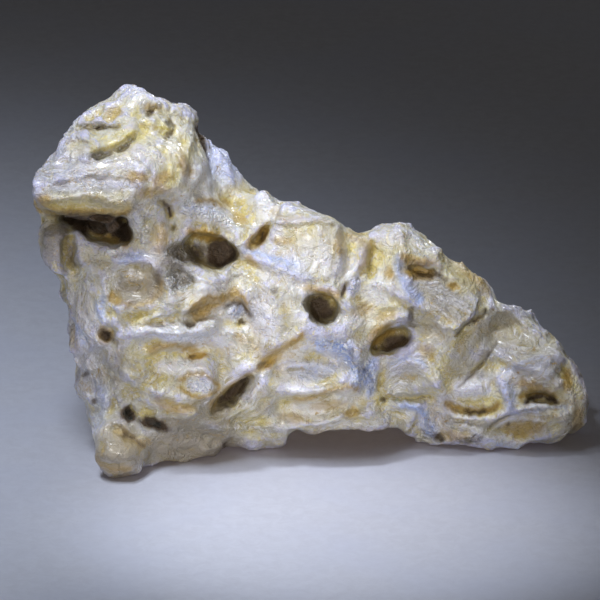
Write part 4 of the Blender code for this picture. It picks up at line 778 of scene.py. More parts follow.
            (-30.8, 11.3, 0.9, 0.8, 0, 0.8), (20, 8, 0.9, 2, -30, 0.6), (-26.8, 47.6, 1.6, 1.2, 0, 0.5),
            (36, 8, 3.4, 0.6, 6, 0.5), (26.8, 6.4, 2.6, 0.9, 0, 0.6), (44.2, 14.4, 1.2, 2.4, 0, 0.4),
        ],
        [
            ([(1, 23), (4, 22.2), (6.8, 20), (8.8, 17), (10, 13.4)], 1, 1),
            ([(-24, 45.4), (-20, 45.7), (-16, 44.4), (-13, 42.4)], 1.1, 0.8),
            ([(-28.6, 45), (-28.4, 42), (-29.4, 40)], 0.8, 0.5),
        ],
    ),
}


def frame_of(side):
    """The turn from a side's own (u, v, w) frame, where w comes out at the viewer, into the world frame."""
    azimuth, tilt = SIDES[side]
    return Matrix.Rotation(radians(azimuth), 4, "Z") @ Matrix.Rotation(radians(90 - tilt), 4, "X")


def new_object(name, data):
    obj = bpy.data.objects.new(name, data)
    bpy.context.scene.collection.objects.link(obj)
    return obj


def bake(obj):
    """Puts what the modifiers make into the object's own mesh, and drops the modifiers."""
    graph = bpy.context.evaluated_depsgraph_get()
    baked = bpy.data.meshes.new_from_object(obj.evaluated_get(graph))
    obj.modifiers.clear()
    obj.data = baked


def regrain(obj, grain, smoothing):
    """Remeshes to an even grain and softens the result."""
    remesh = obj.modifiers.new("grain", "REMESH")
    remesh.mode = "VOXEL"
    remesh.voxel_size = grain
    smooth = obj.modifiers.new("soften", "SMOOTH")
    smooth.factor = 0.5
    smooth.iterations = smoothing
    bake(obj)


def ball_mesh(name, balls):
    """One mesh of overlapping balls, each given as centre, half sizes and turn about Z."""
    bm = bmesh.new()
    for centre, half_sizes, turn in balls:
        place = Matrix.LocRotScale(Vector(centre), Euler((0, 0, radians(turn))), Vector(half_sizes))
        bmesh.ops.create_icosphere(bm, subdivisions=4, radius=1, matrix=place)
    mesh = bpy.data.meshes.new(name)
    bm.to_mesh(mesh)
    bm.free()
    return mesh


def outline_mesh():
    """The front outline, drawn as a smooth closed curve and extruded right through the stone."""
    curve = bpy.data.curves.new("outline", "CURVE")
    curve.dimensions = "2D"
    curve.fill_mode = "BOTH"
    curve.extrude = 2 * FRONT_TO_BACK
    curve.resolution_u = 4
    spline = curve.splines.new("BEZIER")
    spline.bezier_points.add(len(OUTLINE) - 1)
    for point, (u, v) in zip(spline.bezier_points, OUTLINE):
        point.co = (u, v, 0)
        point.handle_left_type = point.handle_right_type = "AUTO"
    spline.use_cyclic_u = True
    drawn = new_object("outline_curve", curve)
    graph = bpy.context.evaluated_depsgraph_get()
    mesh = bpy.data.meshes.new_from_object(drawn.evaluated_get(graph))
    bpy.data.objects.remove(drawn)
    bm = bmesh.new()
    bm.from_mesh(mesh)
    bmesh.ops.remove_doubles(bm, verts=bm.verts, dist=0.001)
    bmesh.ops.recalc_face_normals(bm, faces=bm.faces)
    bm.transform(frame_of("show"))
    bm.to_mesh(mesh)
    bm.free()
    return mesh


def trim(stone, mesh, operation):
    cutter = new_object("cutter", mesh)
    boolean = stone.modifiers.new("trim", "BOOLEAN")
    boolean.solver = "EXACT"
    boolean.operation = operation
    boolean.object = cutter
    bake(stone)
    bpy.data.objects.remove(cutter)


def ease(t):
    t = np.clip(t, 0, 1)
    return t * t * (3 - 2 * t)


def wandering(points):
    """The points as the strokes see them: shifted about a little, so that no stroke's edge runs true."""
    rng = np.random.default_rng(SEED)
    shifted = points.copy()
    for far, size in [(WANDER, WANDER_SIZE)] * WAVES + [(JITTER, JITTER_SIZE)] * WAVES:
        wave = np.sin(points @ rng.normal(0, 1 / size, 3) + rng.uniform(0, tau))
        shifted += far * wave[:, None] * rng.normal(0, 2 / WAVES**0.5, 3)
    return shifted


def in_oval(points, u, v, half_width, half_height, turn, power=2):
    """How far out in the oval each point lies, 1 on its rim. A high power squares the oval."""
    du = points[:, 0] - u
    dv = points[:, 1] - v
    c, s = cos(radians(turn)), sin(radians(turn))
    across = np.abs(du * c + dv * s) / half_width
    up = np.abs(dv * c - du * s) / half_height
    return (across**power + up**power) ** (1 / power)


def towards(normals, margin=STROKE_MARGIN):
    """1 where the surface faces a side's viewer, and 0 where it has turned away."""
    return ease(normals[:, 2] / TURNING_AWAY + margin)


def on_top(points, share, reach=REACH):
    """Leaves out of a stroke's share whatever lies far behind the nearest of it."""
    nearest = points[share > WELL_INSIDE, 2].max(initial=-reach)
    return share * ease((points[:, 2] - nearest + reach) / REACH_FADE)


def flatten(points, seen, facing, facet):
    """Draws the points of one oval on to a sloping plane."""
    u, v, half_width, half_height, turn, slope_u, slope_v, lift = facet
    out = in_oval(seen, u, v, half_width, half_height, turn, FACET_SQUARENESS)
    share = on_top(points, (1 - ease((out - (1 - FACET_RIM)) / FACET_RIM)) * facing)
    plane = slope_u * (points[:, 0] - u) + slope_v * (points[:, 1] - v)
    level = np.average(points[:, 2] - plane, weights=share)
    move = level + plane + lift - points[:, 2]
    points[:, 2] += share * np.clip(move, -DEEPEST_FACET, DEEPEST_FACET)


def press(points, seen, facing, hollow):
    """Presses one hollow into the points that face the viewer."""
    u, v, half_width, half_height, turn, depth, wall, lean = hollow
    out = in_oval(seen, u, v, half_width, half_height, turn)
    pressed = on_top(points, (1 - ease((out - 1 + wall) / wall)) * facing)
    skirt = on_top(points, (1 - ease(out / SKIRT_REACH)) * facing)
    around = min(SKIRT_SHARE * max(depth, 0), DEEPEST_SKIRT)
    points[:, 2] -= (depth - around) * pressed + around * skirt
    points[:, 1] += lean * pressed


def smooth_path(path, steps=5):
    """The Catmull-Rom curve through the path's points."""
    p = np.array(path, float)
    p = np.vstack([2 * p[0] - p[1], p, 2 * p[-1] - p[-2]])
    t = np.linspace(0, 1, steps, endpoint=False)[:, None]
    spans = [
        0.5 * (2 * b + (c - a) * t + (2 * a - 5 * b + 4 * c - d) * t**2 + (3 * b - a - 3 * c + d) * t**3)
        for a, b, c, d in zip(p, p[1:], p[2:], p[3:])
    ]
    return np.vstack([*spans, p[-2]])


def near(points, path, reach):
    """The rows of the points that may lie within reach of the path."""
    low = np.min(path, axis=0) - reach - 1
    high = np.max(path, axis=0) + reach + 1
    return np.flatnonzero(np.all((points[:, :2] > low) & (points[:, :2] < high), axis=1))


def off_path(points, path):
    """Each point's distance from the path, positive on its left, and how far along it that is, 0 to 1."""
    line = smooth_path(path)
    best = np.full(len(points), np.inf)
    side = np.ones(len(points))
    along = np.zeros(len(points))
    for i, (a, b) in enumerate(zip(line, line[1:])):
        d = b - a
        from_a = points[:, :2] - a
        t = np.clip(from_a @ d / (d @ d), 0, 1)
        away = np.hypot(*(from_a - t[:, None] * d).T)
        nearer = away < best
        best[nearer] = away[nearer]
        side[nearer] = np.sign(d[0] * from_a[nearer, 1] - d[1] * from_a[nearer, 0])
        along[nearer] = (i + t[nearer]) / (len(line) - 1)
    return best * side, along


def fading(along, ends):
    """1 along the middle of a stroke, falling to 0 over its ends."""
    return ease(along / ends) * ease((1 - along) / ends)


def fold(points, seen, facing, path, half_width, height, furrow):
    """Raises a ridge along the path, gentle on its left hand, steep on its right, with a furrow beside it."""
    rows = near(seen, path, 3 * half_width)
    away, along = off_path(seen[rows], path)
    ends = fading(along, FOLD_ENDS) * facing[rows]
    ends = on_top(points[rows], ends * (np.abs(away) < 3 * half_width))
    spread = np.where(away > 0, half_width, STEEP_SHARE * half_width)
    points[rows, 2] += height * ends * np.exp(-((away / spread) ** 2))
    points[rows, 2] -= furrow * ends * np.exp(-((away / half_width + FURROW_PLACE) ** 2) / FURROW_SPREAD)


def split(points, seen, facing, path, half_width, depth):
    """Cuts a thin crack along the path."""
    rows = near(seen, path, 2 * half_width)
    away, along = off_path(seen[rows], path)
    ends = fading(along, CRACK_ENDS) * facing[rows]
    ends = on_top(points[rows], ends * (np.abs(away) < 2 * half_width))
    points[rows, 2] -= depth * ends * np.exp(-((away / half_width) ** 2))


def from_side(mesh, side):
    """The mesh's points and normals in a side's frame."""
    turn = np.array(frame_of(side).to_3x3())
    points = np.empty(3 * len(mesh.vertices))
    mesh.vertices.foreach_get("co", points)
    normals = np.empty(points.size)
    mesh.vertices.foreach_get("normal", normals)
    return points.reshape(-1, 3) @ turn, normals.reshape(-1, 3) @ turn


def carve(stone, side, strokes):
    """Makes one side's strokes: facets first, then folds, hollows and cracks."""
    points, normals = from_side(stone.data, side)
    facing = towards(normals)
    seen = wandering(points)
    for facet in strokes.get("facets", {}).values():
        flatten(points, seen, facing, facet)
    for path, half_width, height, furrow in strokes.get("folds", {}).values():
        fold(points, seen, facing, path, half_width, height, furrow)
    for hollow in strokes.get("hollows", {}).values():
        press(points, seen, facing, hollow)
    for path, half_width, depth in strokes.get("cracks", {}).values():
        split(points, seen, facing, path, half_width, depth)
    turn = np.array(frame_of(side).to_3x3())
    stone.data.vertices.foreach_set("co", (points @ turn.T).ravel())
    stone.data.update()


def bold(folds, height=BOLDNESS, furrow=BOLDNESS * FURROW_SHARE):
    return {name: (path, w, height * h, furrow * f) for name, (path, w, h, f) in folds.items()}


def carve_broadly(stone):
    """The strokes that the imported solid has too."""
    for side in ("top", "back", "right", "left"):
        strokes = {
            "facets": MORE_FACETS.get(side, {}),
            "folds": bold(MORE_FOLDS.get(side, {})),
            "hollows": MORE_HOLLOWS.get(side, {}),
        }
        carve(stone, side, strokes)
    carve(stone, "show", {"facets": FACETS, "folds": bold(FOLDS), "hollows": HOLLOWS})


def loose_strokes(side):
    """Small folds and pits strewn over a side that has few of its own."""
    (low_u, high_u), (low_v, high_v), count = STREWN[side]
    rng = np.random.default_rng(SEED)
    folds, hollows = {}, {}
    for i in range(count):
        start = np.array([rng.uniform(low_u, high_u), rng.uniform(low_v, high_v)])
        heading = rng.uniform(0, tau)
        path = [start]
        for _ in range(3):
            heading += rng.normal(0, 0.5)
            path.append(path[-1] + rng.uniform(1.6, 3.4) * np.array([cos(heading), sin(heading)]))
        folds[f"loose {i}"] = (path, rng.uniform(0.6, 1.2), rng.uniform(0.3, 0.8), rng.uniform(0.1, 0.5))
    for i in range(count // 2):
        u, v = rng.uniform(low_u, high_u), rng.uniform(low_v, high_v)
        size = rng.uniform(0.6, 1.8, 2)
        hollows[f"loose {i}"] = (u, v, *size, rng.uniform(0, 180), rng.uniform(0.4, 1.2), 0.6, 0.2)
    return {"folds": folds, "hollows": hollows}


def fine_strokes(side):
    if side == "show":
        folds = bold(FINE_FOLDS, FINE_HEIGHT, FINE_FURROW)
        return {"folds": folds, "hollows": SMALL_HOLES, "cracks": CRACKS}
    return loose_strokes(side)


def weather(stone, name, size, strength):
    """Roughens the whole surface with lumps of one size."""
    lumps = bpy.data.textures.new(name, "MUSGRAVE")
    lumps.musgrave_type = "RIDGED_MULTIFRACTAL"
    lumps.noise_scale = size
    lumps.octaves = 2
    displace = stone.modifiers.new(name, "DISPLACE")
    displace.texture = lumps
    displace.texture_coords = "LOCAL"
    displace.mid_level = 0.9
    displace.strength = strength
    bake(stone)


def thin_out(stone):
    faces = sum(len(face.vertices) - 2 for face in stone.data.polygons)
    if faces > TRIANGLES:
        stone.modifiers.new("thin", "DECIMATE").ratio = TRIANGLES / faces
        bake(stone)


def stand_on_base(stone):
    """Cuts the underside off flat."""
    bm = bmesh.new()
    bm.from_mesh(stone.data)
    everything = [*bm.verts, *bm.edges, *bm.faces]
    cut = bmesh.ops.bisect_plane(bm, geom=everything, plane_no=(0, 0, -1), clear_outer=True)
    rim = [e for e in cut["geom_cut"] if isinstance(e, bmesh.types.BMEdge)]
    bmesh.ops.edgeloop_fill(bm, edges=rim)
    bmesh.ops.triangulate(bm, faces=bm.faces)
    bmesh.ops.recalc_face_normals(bm, faces=bm.faces)
    bm.to_mesh(stone.data)
    bm.free()


def carve_stone():
    """The whole stone, in millimetres in the frame that it is carved in."""
    stone = new_object("viewing_stone", ball_mesh("swellings", SWELLINGS.values()))
    regrain(stone, ROUGH_GRAIN, HEAVY_SMOOTHING)
    trim(stone, outline_mesh(), "INTERSECT")
    trim(stone, ball_mesh("arch", [(*ARCH, 0)]), "DIFFERENCE")
    regrain(stone, CARVING_GRAIN, TRIM_SMOOTHING)
    weather(stone, "lumps", LUMP_SIZE, LUMP_HEIGHT)
    regrain(stone, CARVING_GRAIN, LIGHT_SMOOTHING)
    carve_broadly(stone)
    regrain(stone, FINE_GRAIN, LIGHT_SMOOTHING)
    for side in SIDES:
        carve(stone, side, fine_strokes(side))
    weather(stone, "knobs", KNOB_SIZE, KNOB_HEIGHT)
    weather(stone, "grit", GRIT_SIZE, GRIT_HEIGHT)
    stand_on_base(stone)
    thin_out(stone)
    return stone


def drift_along(points, paths):
    """Each point's place in the grain of the stone: how far off its nearest stroke, how far along, which."""
    grain = np.column_stack([points[:, :2], np.zeros(len(points))])
    best = np.full(len(points), LONGEST_DRIFT)
    for number, path in enumerate(paths):
        rows = near(points, path, LONGEST_DRIFT)
        away, along = off_path(points[rows], path)
        length = np.hypot(*np.diff(smooth_path(path), axis=0).T).sum()
        closer = np.abs(away) < best[rows]
        rows, away, along = rows[closer], away[closer], along[closer]
        best[rows] = np.abs(away)
        grain[rows] = np.column_stack([away, along * length, np.full(len(rows), number)])
    return grain


def rim(hollow, steps=10):
    """The rim of a hollow as a closed path."""
    u, v, half_width, half_height, turn = hollow[:5]
    c, s = cos(radians(turn)), sin(radians(turn))
    angles = [tau * i / steps for i in range(steps + 1)]
    corners = [(half_width * cos(a), half_height * sin(a)) for a in angles]
    return [(u + c * x - s * y, v + s * x + c * y) for x, y in corners]


def paths_of(side):
    """Every stroke of a side as a path that the grain of the stone follows."""
    fine = fine_strokes(side)
    folds = [*fine["folds"].values()]
    folds += FOLDS.values() if side == "show" else MORE_FOLDS.get(side, {}).values()
    hollows = [*fine["hollows"].values()]
    hollows += HOLLOWS.values() if side == "show" else MORE_HOLLOWS.get(side, {}).values()
    return [stroke[0] for stroke in folds] + [rim(hollow) for hollow in hollows]


def learn_grain(mesh):
    """The grain of the whole surface, each point's read from the side that it faces most."""
    grain = np.zeros((len(mesh.vertices), 3))
    best = np.full(len(mesh.vertices), -1.0)
    for side in ("show", "top", "back", "right", "left"):
        points, normals = from_side(mesh, side)
        facing = normals[:, 2] + (SHOW_FIRST if side == "show" else 0)
        rows = np.flatnonzero(facing > best)
        best[rows] = facing[rows]
        grain[rows] = drift_along(wandering(points[rows]), paths_of(side))
    return grain


def relaxed(mesh, rounds):
    """The points of a mesh, and where they end up when it is smoothed."""
    edges = np.empty(2 * len(mesh.edges), int)
    mesh.edges.foreach_get("vertices", edges)
    one, other = edges.reshape(-1, 2).T
    count = len(mesh.vertices)
    neighbours = np.bincount(edges, minlength=count)
    start = np.empty(3 * count)
    mesh.vertices.foreach_get("co", start)
    start = start.reshape(-1, 3)
    points = start.copy()
    for _ in range(rounds):
        for axis in range(3):
            ahead = np.bincount(one, points[other, axis], count)
            behind = np.bincount(other, points[one, axis], count)
            points[:, axis] = (points[:, axis] + (ahead + behind) / neighbours) / 2
    return start, points


def blunt(mesh):
    """Draws in the few points that stick out of the surface like thorns."""
    for _ in range(BLUNTING):
        start, points = relaxed(mesh, BLUNTING)
        thorns = np.linalg.norm(points - start, axis=1) > THORN
        start[thorns] = points[thorns]
        mesh.vertices.foreach_set("co", start.ravel())
        mesh.update()


def polish(mesh):
    """Softens the show side where the stone is waxy."""
    start, soft = relaxed(mesh, POLISHING)
    points, normals = from_side(mesh, "show")
    share = marking_share(wandering(points), points, towards(normals), *STAINS_AND_PAINTED_LIGHT_AND_SHADE["polish"])
    mesh.vertices.foreach_set("co", (start + (soft - start) * share[:, None]).ravel())
    mesh.update()


def sunk(mesh, rounds):
    """How far each point lies beneath its surroundings, in millimetres: more rounds look further around."""
    start, points = relaxed(mesh, rounds)
    normals = np.empty(start.size)
    mesh.vertices.foreach_get("normal", normals)
    return ((points - start) * normals.reshape(-1, 3)).sum(axis=1)


def marking_share(points, seen, facing, ovals, lines):
    """How much of one stain, or of one patch of painted light or shade, lies on each point, 0 to 1."""
    amount = np.zeros(len(points))
    for *oval, strength in ovals:
        share = 1 - ease((in_oval(seen, *oval) - MARKING_CORE) / MARKING_EDGE)
        amount = np.maximum(amount, strength * on_top(points, share * facing, MARKING_REACH))
    for path, half_width, strength in lines:
        rows = near(seen, path, 2 * half_width)
        away, along = off_path(seen[rows], path)
        share = np.exp(-((away / half_width) ** 2)) * fading(along, CRACK_ENDS)
        share = on_top(points[rows], share * facing[rows], MARKING_REACH)
        amount[rows] = np.maximum(amount[rows], strength * share)
    return amount


def note(mesh, name, kind, values):
    """Keeps one value, or one vector, for each point of the surface under a name that a finish reads."""
    attribute = mesh.attributes.new(name, kind, "POINT")
    field = "vector" if kind == "FLOAT_VECTOR" else "value"
    attribute.data.foreach_set(field, values.astype(np.float32).ravel())


def learn_surface(mesh):
    """Notes the depth, the grain, and the stains and the patches of painted light and shade of the stone on
    its points.
    """
    note(mesh, "crease", "FLOAT", sunk(mesh, FINE_ROUNDS))
    note(mesh, "hollow", "FLOAT", sunk(mesh, BROAD_ROUNDS))
    note(mesh, "grain", "FLOAT_VECTOR", learn_grain(mesh))
    points, normals = from_side(mesh, "show")
    facing = towards(normals, MARKING_MARGIN)
    seen = wandering(points)
    for marking, (ovals, lines) in STAINS_AND_PAINTED_LIGHT_AND_SHADE.items():
        note(mesh, marking, "FLOAT", marking_share(points, seen, facing, ovals, lines))


def set_in_place(obj):
    """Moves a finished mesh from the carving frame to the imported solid's place, in metres."""
    cx, cy = BASE_CENTRE
    obj.data.transform(Matrix.Scale(MM, 4) @ Matrix.Translation((-cx, -cy, 0)))
    obj.data.shade_smooth()


class Wire:
    """A value in a finish. Arithmetic on it adds Math nodes."""

    def __init__(self, tree, socket):
        self.tree = tree
        self.socket = socket

    def math(self, operation, first, second=0.0, clamp=False):
        node = self.tree.nodes.new("ShaderNodeMath")
        node.operation = operation
        node.use_clamp = clamp
        plug(self.tree, node, {0: first, 1: second})
        return Wire(self.tree, node.outputs[0])

    def __add__(self, other):
        return self.math("ADD", self, other)

    __radd__ = __add__

    def __sub__(self, other):
        return self.math("SUBTRACT", self, other)

    def __rsub__(self, other):
        return self.math("SUBTRACT", other, self)

    def __mul__(self, other):
        return self.math("MULTIPLY", self, other)

    __rmul__ = __mul__

    def within(self):
        """The value kept between 0 and 1."""
        return self.math("ADD", self, 0.0, clamp=True)


def plug(tree, node, values):
    """Sets or links a node's sockets, given by name or number."""
    for key, value in values.items():
        if isinstance(value, Wire):
            tree.links.new(value.socket, node.inputs[key])
        else:
            node.inputs[key].default_value = value


class Finish:
    """A material, and what a maker needs to mix it."""

    def __init__(self, name):
        self.material = bpy.data.materials.new(name)
        self.material.use_nodes = True
        self.tree = self.material.node_tree
        self.shader = self.tree.nodes["Principled BSDF"]

    def node(self, kind, settings, values, output=0):
        """Any node: its type, its settings, its sockets' values or wires, and the output that is used."""
        node = self.tree.nodes.new("ShaderNode" + kind)
        for name, value in settings.items():
            setattr(node, name, value)
        plug(self.tree, node, values)
        return Wire(self.tree, node.outputs[output])

    def place(self):
        """Where a point of the piece is, in metres."""
        return self.node("TexCoord", {}, {}, "Object")

    def edges(self, noise):
        """A noise folded about its middle: 1 along thin, wandering lines and less away from them."""
        off = noise - 0.5
        return 1.0 - 2.0 * off.math("ABSOLUTE", off)

    def noted(self, name, output="Fac"):
        return self.node("Attribute", {"attribute_name": name}, {}, output)

    def scaled(self, vector, factors):
        return self.node("VectorMath", {"operation": "MULTIPLY"}, {0: vector, 1: factors})

    def shifted(self, vector, other):
        return self.node("VectorMath", {"operation": "ADD"}, {0: vector, 1: other})

    def noise(self, vector, scale, detail=3.0, roughness=0.55, distortion=0.0, output="Fac"):
        values = {
            "Vector": vector, "Scale": scale, "Detail": detail,
            "Roughness": roughness, "Distortion": distortion,
        }
        return self.node("TexNoise", {}, values, output)

    def cells(self, vector, scale, output="Distance"):
        return self.node("TexVoronoi", {"feature": "F1"}, {"Vector": vector, "Scale": scale}, output)

    def rise(self, value, low, high):
        """0 below low, 1 above high and smooth between, or the other way round when high is the lower."""
        values = {"Value": value, "From Min": low, "From Max": high}
        return self.node("MapRange", {"interpolation_type": "SMOOTHSTEP"}, values)

    def blend(self, share, one, other):
        """One colour where the share is 0, the other where it is 1."""
        values = {0: share, 6: one, 7: other}
        return self.node("Mix", {"data_type": "RGBA"}, values, 2)

    def bump(self, height, distance, strength=1.0, under=None):
        values = {"Height": height, "Distance": distance, "Strength": strength}
        if under is not None:
            values["Normal"] = under
        return self.node("Bump", {}, values, "Normal")

    def finish(self, **sockets):
        """Sets or links the shader's own sockets, named with _ for a space, and gives the material."""
        plug(self.tree, self.shader, {name.replace("_", " "): value for name, value in sockets.items()})
        return self.material


def chalcedony():
    """Milky, wind-polished chalcedony: cream and bluish white on the folds, honey and umber in the depths,
    the umber partly painted shade.
    """
    f = Finish("milky_chalcedony")
    place = f.place()
    crease, hollow, polish = f.noted("crease"), f.noted("hollow"), f.noted("polish")
    waxy = 1.0 - 0.6 * polish

    # What breaks up every layer, from broad clouds down to specks, and the grain that runs along the strokes.
    clouds = f.noise(place, 75)
    patches = f.noise(place, 300, detail=5, roughness=0.66, distortion=0.4)
    fibrous = f.rise(f.noise(place, 120, detail=2), 0.5, 0.62)
    specks = f.noise(place, 2200, detail=2)
    crumbs = f.noise(place, 900, detail=5, roughness=0.72)
    ragged = 0.2 + 0.8 * patches + 0.8 * crumbs
    grain = f.scaled(f.noted("grain", "Vector"), (1.5, 0.2, 3.7))
    grain = f.shifted(grain, f.scaled(f.noise(place, 260, output="Color"), (0.8, 0.8, 0.0)))
    streaks = f.noise(grain, 1.0, detail=4, roughness=0.6)
    threads = f.edges(f.noise(grain, 1.3, detail=3, roughness=0.6))
    veins = f.edges(f.noise(place, 340, detail=4, roughness=0.62, distortion=0.7))
    glints = f.noise(place, 560, detail=3, roughness=0.6, distortion=0.6)

    # The ground: pearl where it stands proud, milk, then straw and olive as it sinks. The pearl on the proud
    # parts is partly a painted cool reflection, and the olive in the creases partly painted shade.
    sunken = crease * 1.3 + hollow * 0.3 + (patches - 0.5) * 2.2 + (clouds - 0.5) * 1.6 + (crumbs - 0.5) * 1.4
    colour = f.blend(f.rise(sunken, -0.05, 0.6), MILK, STRAW)
    colour = f.blend(f.rise(sunken, -0.15, -0.85) * 0.9, colour, PEARL)
    colour = f.blend(f.rise(sunken, 0.55, 1.3) * 0.8, colour, OLIVE)
    colour = f.blend(f.rise(crumbs, 0.55, 0.66) * 0.7, colour, SNOW)
    colour = f.blend(f.rise(glints, 0.56, 0.64) * 0.6, colour, BUTTER)
    colour = f.blend(f.rise(glints, 0.42, 0.34) * 0.6, colour, PEARL)

    # The stains, with ragged edges. Grey and tan also paint shade, and white paints light on folds in shade.
    colour = f.blend((f.noted("pearl") * ragged * 0.9).within(), colour, PEARL)
    colour = f.blend((f.noted("grey_and_painted_shade") * ragged * 0.9).within(), colour, SMOKE)
    colour = f.blend((f.noted("yellow") * ragged).within(), colour, BUTTER)
    colour = f.blend((f.noted("white") * ragged * 0.9).within(), colour, SNOW)
    colour = f.blend((f.noted("blue") * ragged).within(), colour, STEEL)
    # White specks, partly white grains and partly painted glints.
    colour = f.blend(f.rise(specks, 0.58, 0.7) * 0.5, colour, SNOW)
    colour = f.blend(f.rise(threads, 0.9, 0.98) * fibrous * 0.6, colour, SNOW)
    colour = f.blend((f.noted("tan_and_painted_shade") * (0.5 + patches)).within(), colour, TAN)

    # Streaks of olive and white along the grain, honey veins and grains, and glittering crystals whose glints
    # are painted.
    colour = f.blend(f.rise(streaks, 0.47, 0.34) * (0.15 + 0.4 * fibrous + 0.3 * polish), colour, OLIVE)
    white_lines = 0.3 + 0.4 * fibrous + 0.2 * polish - 0.4 * f.noted("tan_and_painted_shade")
    colour = f.blend(f.rise(streaks, 0.54, 0.68) * white_lines.within(), colour, SNOW)
    colour = f.blend(f.rise(veins, 0.93, 0.99) * f.rise(patches, 0.52, 0.62) * 0.4, colour, HONEY)
    colour = f.blend(f.rise(crumbs, 0.42, 0.33) * f.rise(patches, 0.43, 0.58) * 0.8, colour, HONEY)
    # The crystals' glitter is painted glints: white on some of their cells.
    druse = f.noted("druse")
    crystals = f.cells(place, 2300, output="Color")
    sparkle = f.rise(f.node("SeparateColor", {}, {0: crystals}, 0), 0.45, 0.95) * f.rise(druse, 0.2, 0.7)
    colour = f.blend(sparkle * 0.75, colour, SNOW)

    # The depths: honey, then umber, and near black in the darkest stains. The umber in the deep hollows and
    # creases is painted shade, and the dark stains add painted shade in the caves and cracks as well as real
    # dark marks. White stains keep them back.
    kept = 1.0 - 0.7 * f.noted("white")
    honey = f.noted("amber") * ragged + f.rise(hollow, 0.8, 2.4) * 0.4 * kept
    colour = f.blend(honey.within(), colour, HONEY)
    deep = f.noted("dark_marks_and_painted_shade") * ragged + f.rise(hollow, 2.2, 4.6) * 0.7 + f.rise(crease, 0.4, 0.8) * 0.4 * kept
    colour = f.blend((deep * 0.95).within(), colour, UMBER)
    colour = f.blend(f.rise(f.noted("dark_marks_and_painted_shade") * ragged, 1.2, 1.7), colour, INK)

    # Relief too fine to carve.
    facets = f.cells(place, 1900)
    under = f.bump(f.rise(druse, 0.1, 0.6) * facets, 0.0004)
    under = f.bump((streaks + 0.4 * threads) * (0.25 + 0.75 * fibrous) * waxy, 0.0003, 0.8, under)
    under = f.bump(f.rise(veins, 0.85, 1.0), -0.0002, 0.8, under)
    under = f.bump((crumbs + 0.3 * specks) * waxy, 0.0007, 0.8, under)
    gloss = 0.26 + 0.3 * specks * waxy + 0.3 * f.rise(hollow, 0.5, 2.0) - 0.08 * f.noted("white")
    return f.finish(
        Base_Color=colour, Roughness=gloss.within(), Normal=under,
        Coat_Weight=(0.5 - 0.4 * clouds - 0.5 * f.noted("dark_marks_and_painted_shade")).within(),
        Coat_Roughness=0.15, Subsurface_Weight=0.3, Subsurface_Radius=(1.0, 0.8, 0.5),
        Subsurface_Scale=0.0016, IOR=1.54,
    )


def table_cloth():
    """The pale, faintly fibrous table that the stone stands on."""
    f = Finish("pale_cloth")
    place = f.place()
    fibres = f.noise(place, 420, detail=5, roughness=0.75, distortion=0.6)
    mottle = f.noise(place, 38, detail=3)
    colour = f.blend(f.rise(fibres, 0.3, 0.7), CLOTH_SHADE, CLOTH)
    colour = f.blend(f.rise(mottle, 0.35, 0.7) * 0.5, colour, CLOTH_BLUE)
    return f.finish(Base_Color=colour, Roughness=0.9, Normal=f.bump(fibres, 0.0002, 0.3))


def lay_table():
    mesh = bpy.data.meshes.new("table")
    corners = [(x, y, 0) for x, y in ((-1, -1), (1, -1), (1, 1), (-1, 1))]
    mesh.from_pydata([tuple(TABLE_HALF * c for c in corner) for corner in corners], [], [(0, 1, 2, 3)])
    table = new_object("table", mesh)
    table.data.materials.append(table_cloth())
    return table


def show_point(u, v, w=0.0):
    """A point of the show side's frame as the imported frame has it, in metres."""
    x, y, z = frame_of("show") @ Vector((u, v, w))
    return Vector((x - BASE_CENTRE[0], y - BASE_CENTRE[1], z)) * MM


def aim(obj, place, target):
    obj.location = place
    obj.rotation_euler = (target - place).to_track_quat("-Z", "Y").to_euler()


def set_camera():
    data = bpy.data.cameras.new("camera")
    data.sensor_width = SENSOR
    data.lens = SENSOR * CAMERA_AWAY / FRAME_WIDTH
    data.clip_start, data.clip_end = 0.1, 10
    camera = new_object("camera", data)
    aim(camera, show_point(*VIEW_CENTRE, CAMERA_AWAY), show_point(*VIEW_CENTRE))
    bpy.context.scene.camera = camera


def spot_light(name, place, target, spread, softness, power, colour, blend=1.0):
    """A spot from place to target, in metres: its full angle, its radius in metres and its power in watts."""
    data = bpy.data.lights.new(name, "SPOT")
    data.spot_size = radians(spread)
    data.spot_blend = blend
    data.shadow_soft_size = softness
    data.energy = power
    data.color = colour
    light = new_object(name, data)
    aim(light, Vector(place), Vector(target))
    light.visible_camera = False
    return light


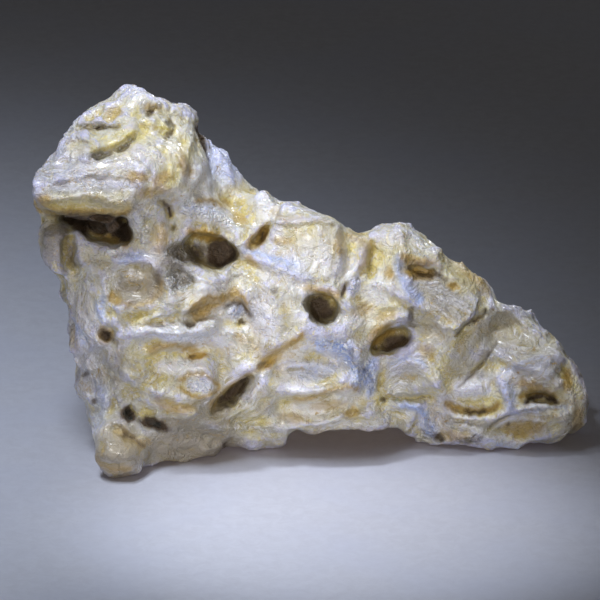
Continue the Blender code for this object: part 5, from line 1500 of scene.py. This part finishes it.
def light_only(light, obj, *others):
    """Keeps a light off everything but one object. Only that and the others named throw shadows in it."""
    lit = bpy.data.collections.new(f"lit by {light.name}")
    shading = bpy.data.collections.new(f"shading {light.name}")
    lit.objects.link(obj)
    for blocker in (obj, *others):
        shading.objects.link(blocker)
    light.light_linking.receiver_collection = lit
    light.light_linking.blocker_collection = shading


def light_room(stone, table):
    """Lights the table alone with the first three spots and the stone alone with the rest."""
    wash = spot_light("wash", (-0.095, -0.078, 0.26), (-0.106, 0.004, 0), 68, 0.04, 2.15, COOL, 0.95)
    pool = spot_light("pool", (-0.088, -0.03, 0.26), (0.008, -0.044, 0), 22.7, 0.012, 2.4, COOL_POOL)
    glow = spot_light("glow", (0.02, -0.25, 0.30), (0.002, -0.01, 0), 16, 0.02, 0.9, EMBER)
    light_only(wash, table, stone)
    light_only(pool, table, stone)
    light_only(glow, table)
    for light in (
        spot_light("top", (-0.07, -0.07, 0.36), (-0.02, 0, 0.03), 40, 0.04, 4.8, COOL),
        spot_light("front", (-0.09, -0.45, 0.24), (-0.018, -0.01, 0.032), 18, 0.08, 8.0, WARM),
        spot_light("low", (0.0, -0.42, 0.06), (-0.002, 0, 0.018), 13, 0.03, 2.4, WARM),
        spot_light("side", (0.10, -0.42, 0.16), (-0.014, -0.005, 0.051), 6, 0.03, 3.4, WARM),
        spot_light("end", (0.13, -0.4, 0.12), (0.044, -0.01, 0.012), 4, 0.03, 2.0, WARM),
        spot_light("back", (0.16, 0.42, 0.26), (0, 0, 0.02), 26, 0.03, 2.8, PALE),
    ):
        light_only(light, stone)
    world = bpy.data.worlds.new("room")
    world.use_nodes = True
    background = world.node_tree.nodes["Background"]
    background.inputs["Color"].default_value = ROOM
    background.inputs["Strength"].default_value = 0.06
    bpy.context.scene.world = world
    bpy.context.scene.view_settings.view_transform = "Standard"


def corners(bounds):
    return [list(corner) for corner in bounds]


def main():
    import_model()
    set_camera()
    stone = carve_stone()
    blunt(stone.data)
    polish(stone.data)
    learn_surface(stone.data)
    stone.data.materials.clear()
    stone.data.materials.append(chalcedony())
    set_in_place(stone)
    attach(stone, BODY)
    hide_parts(SOLID)
    light_room(stone, lay_table())


main()
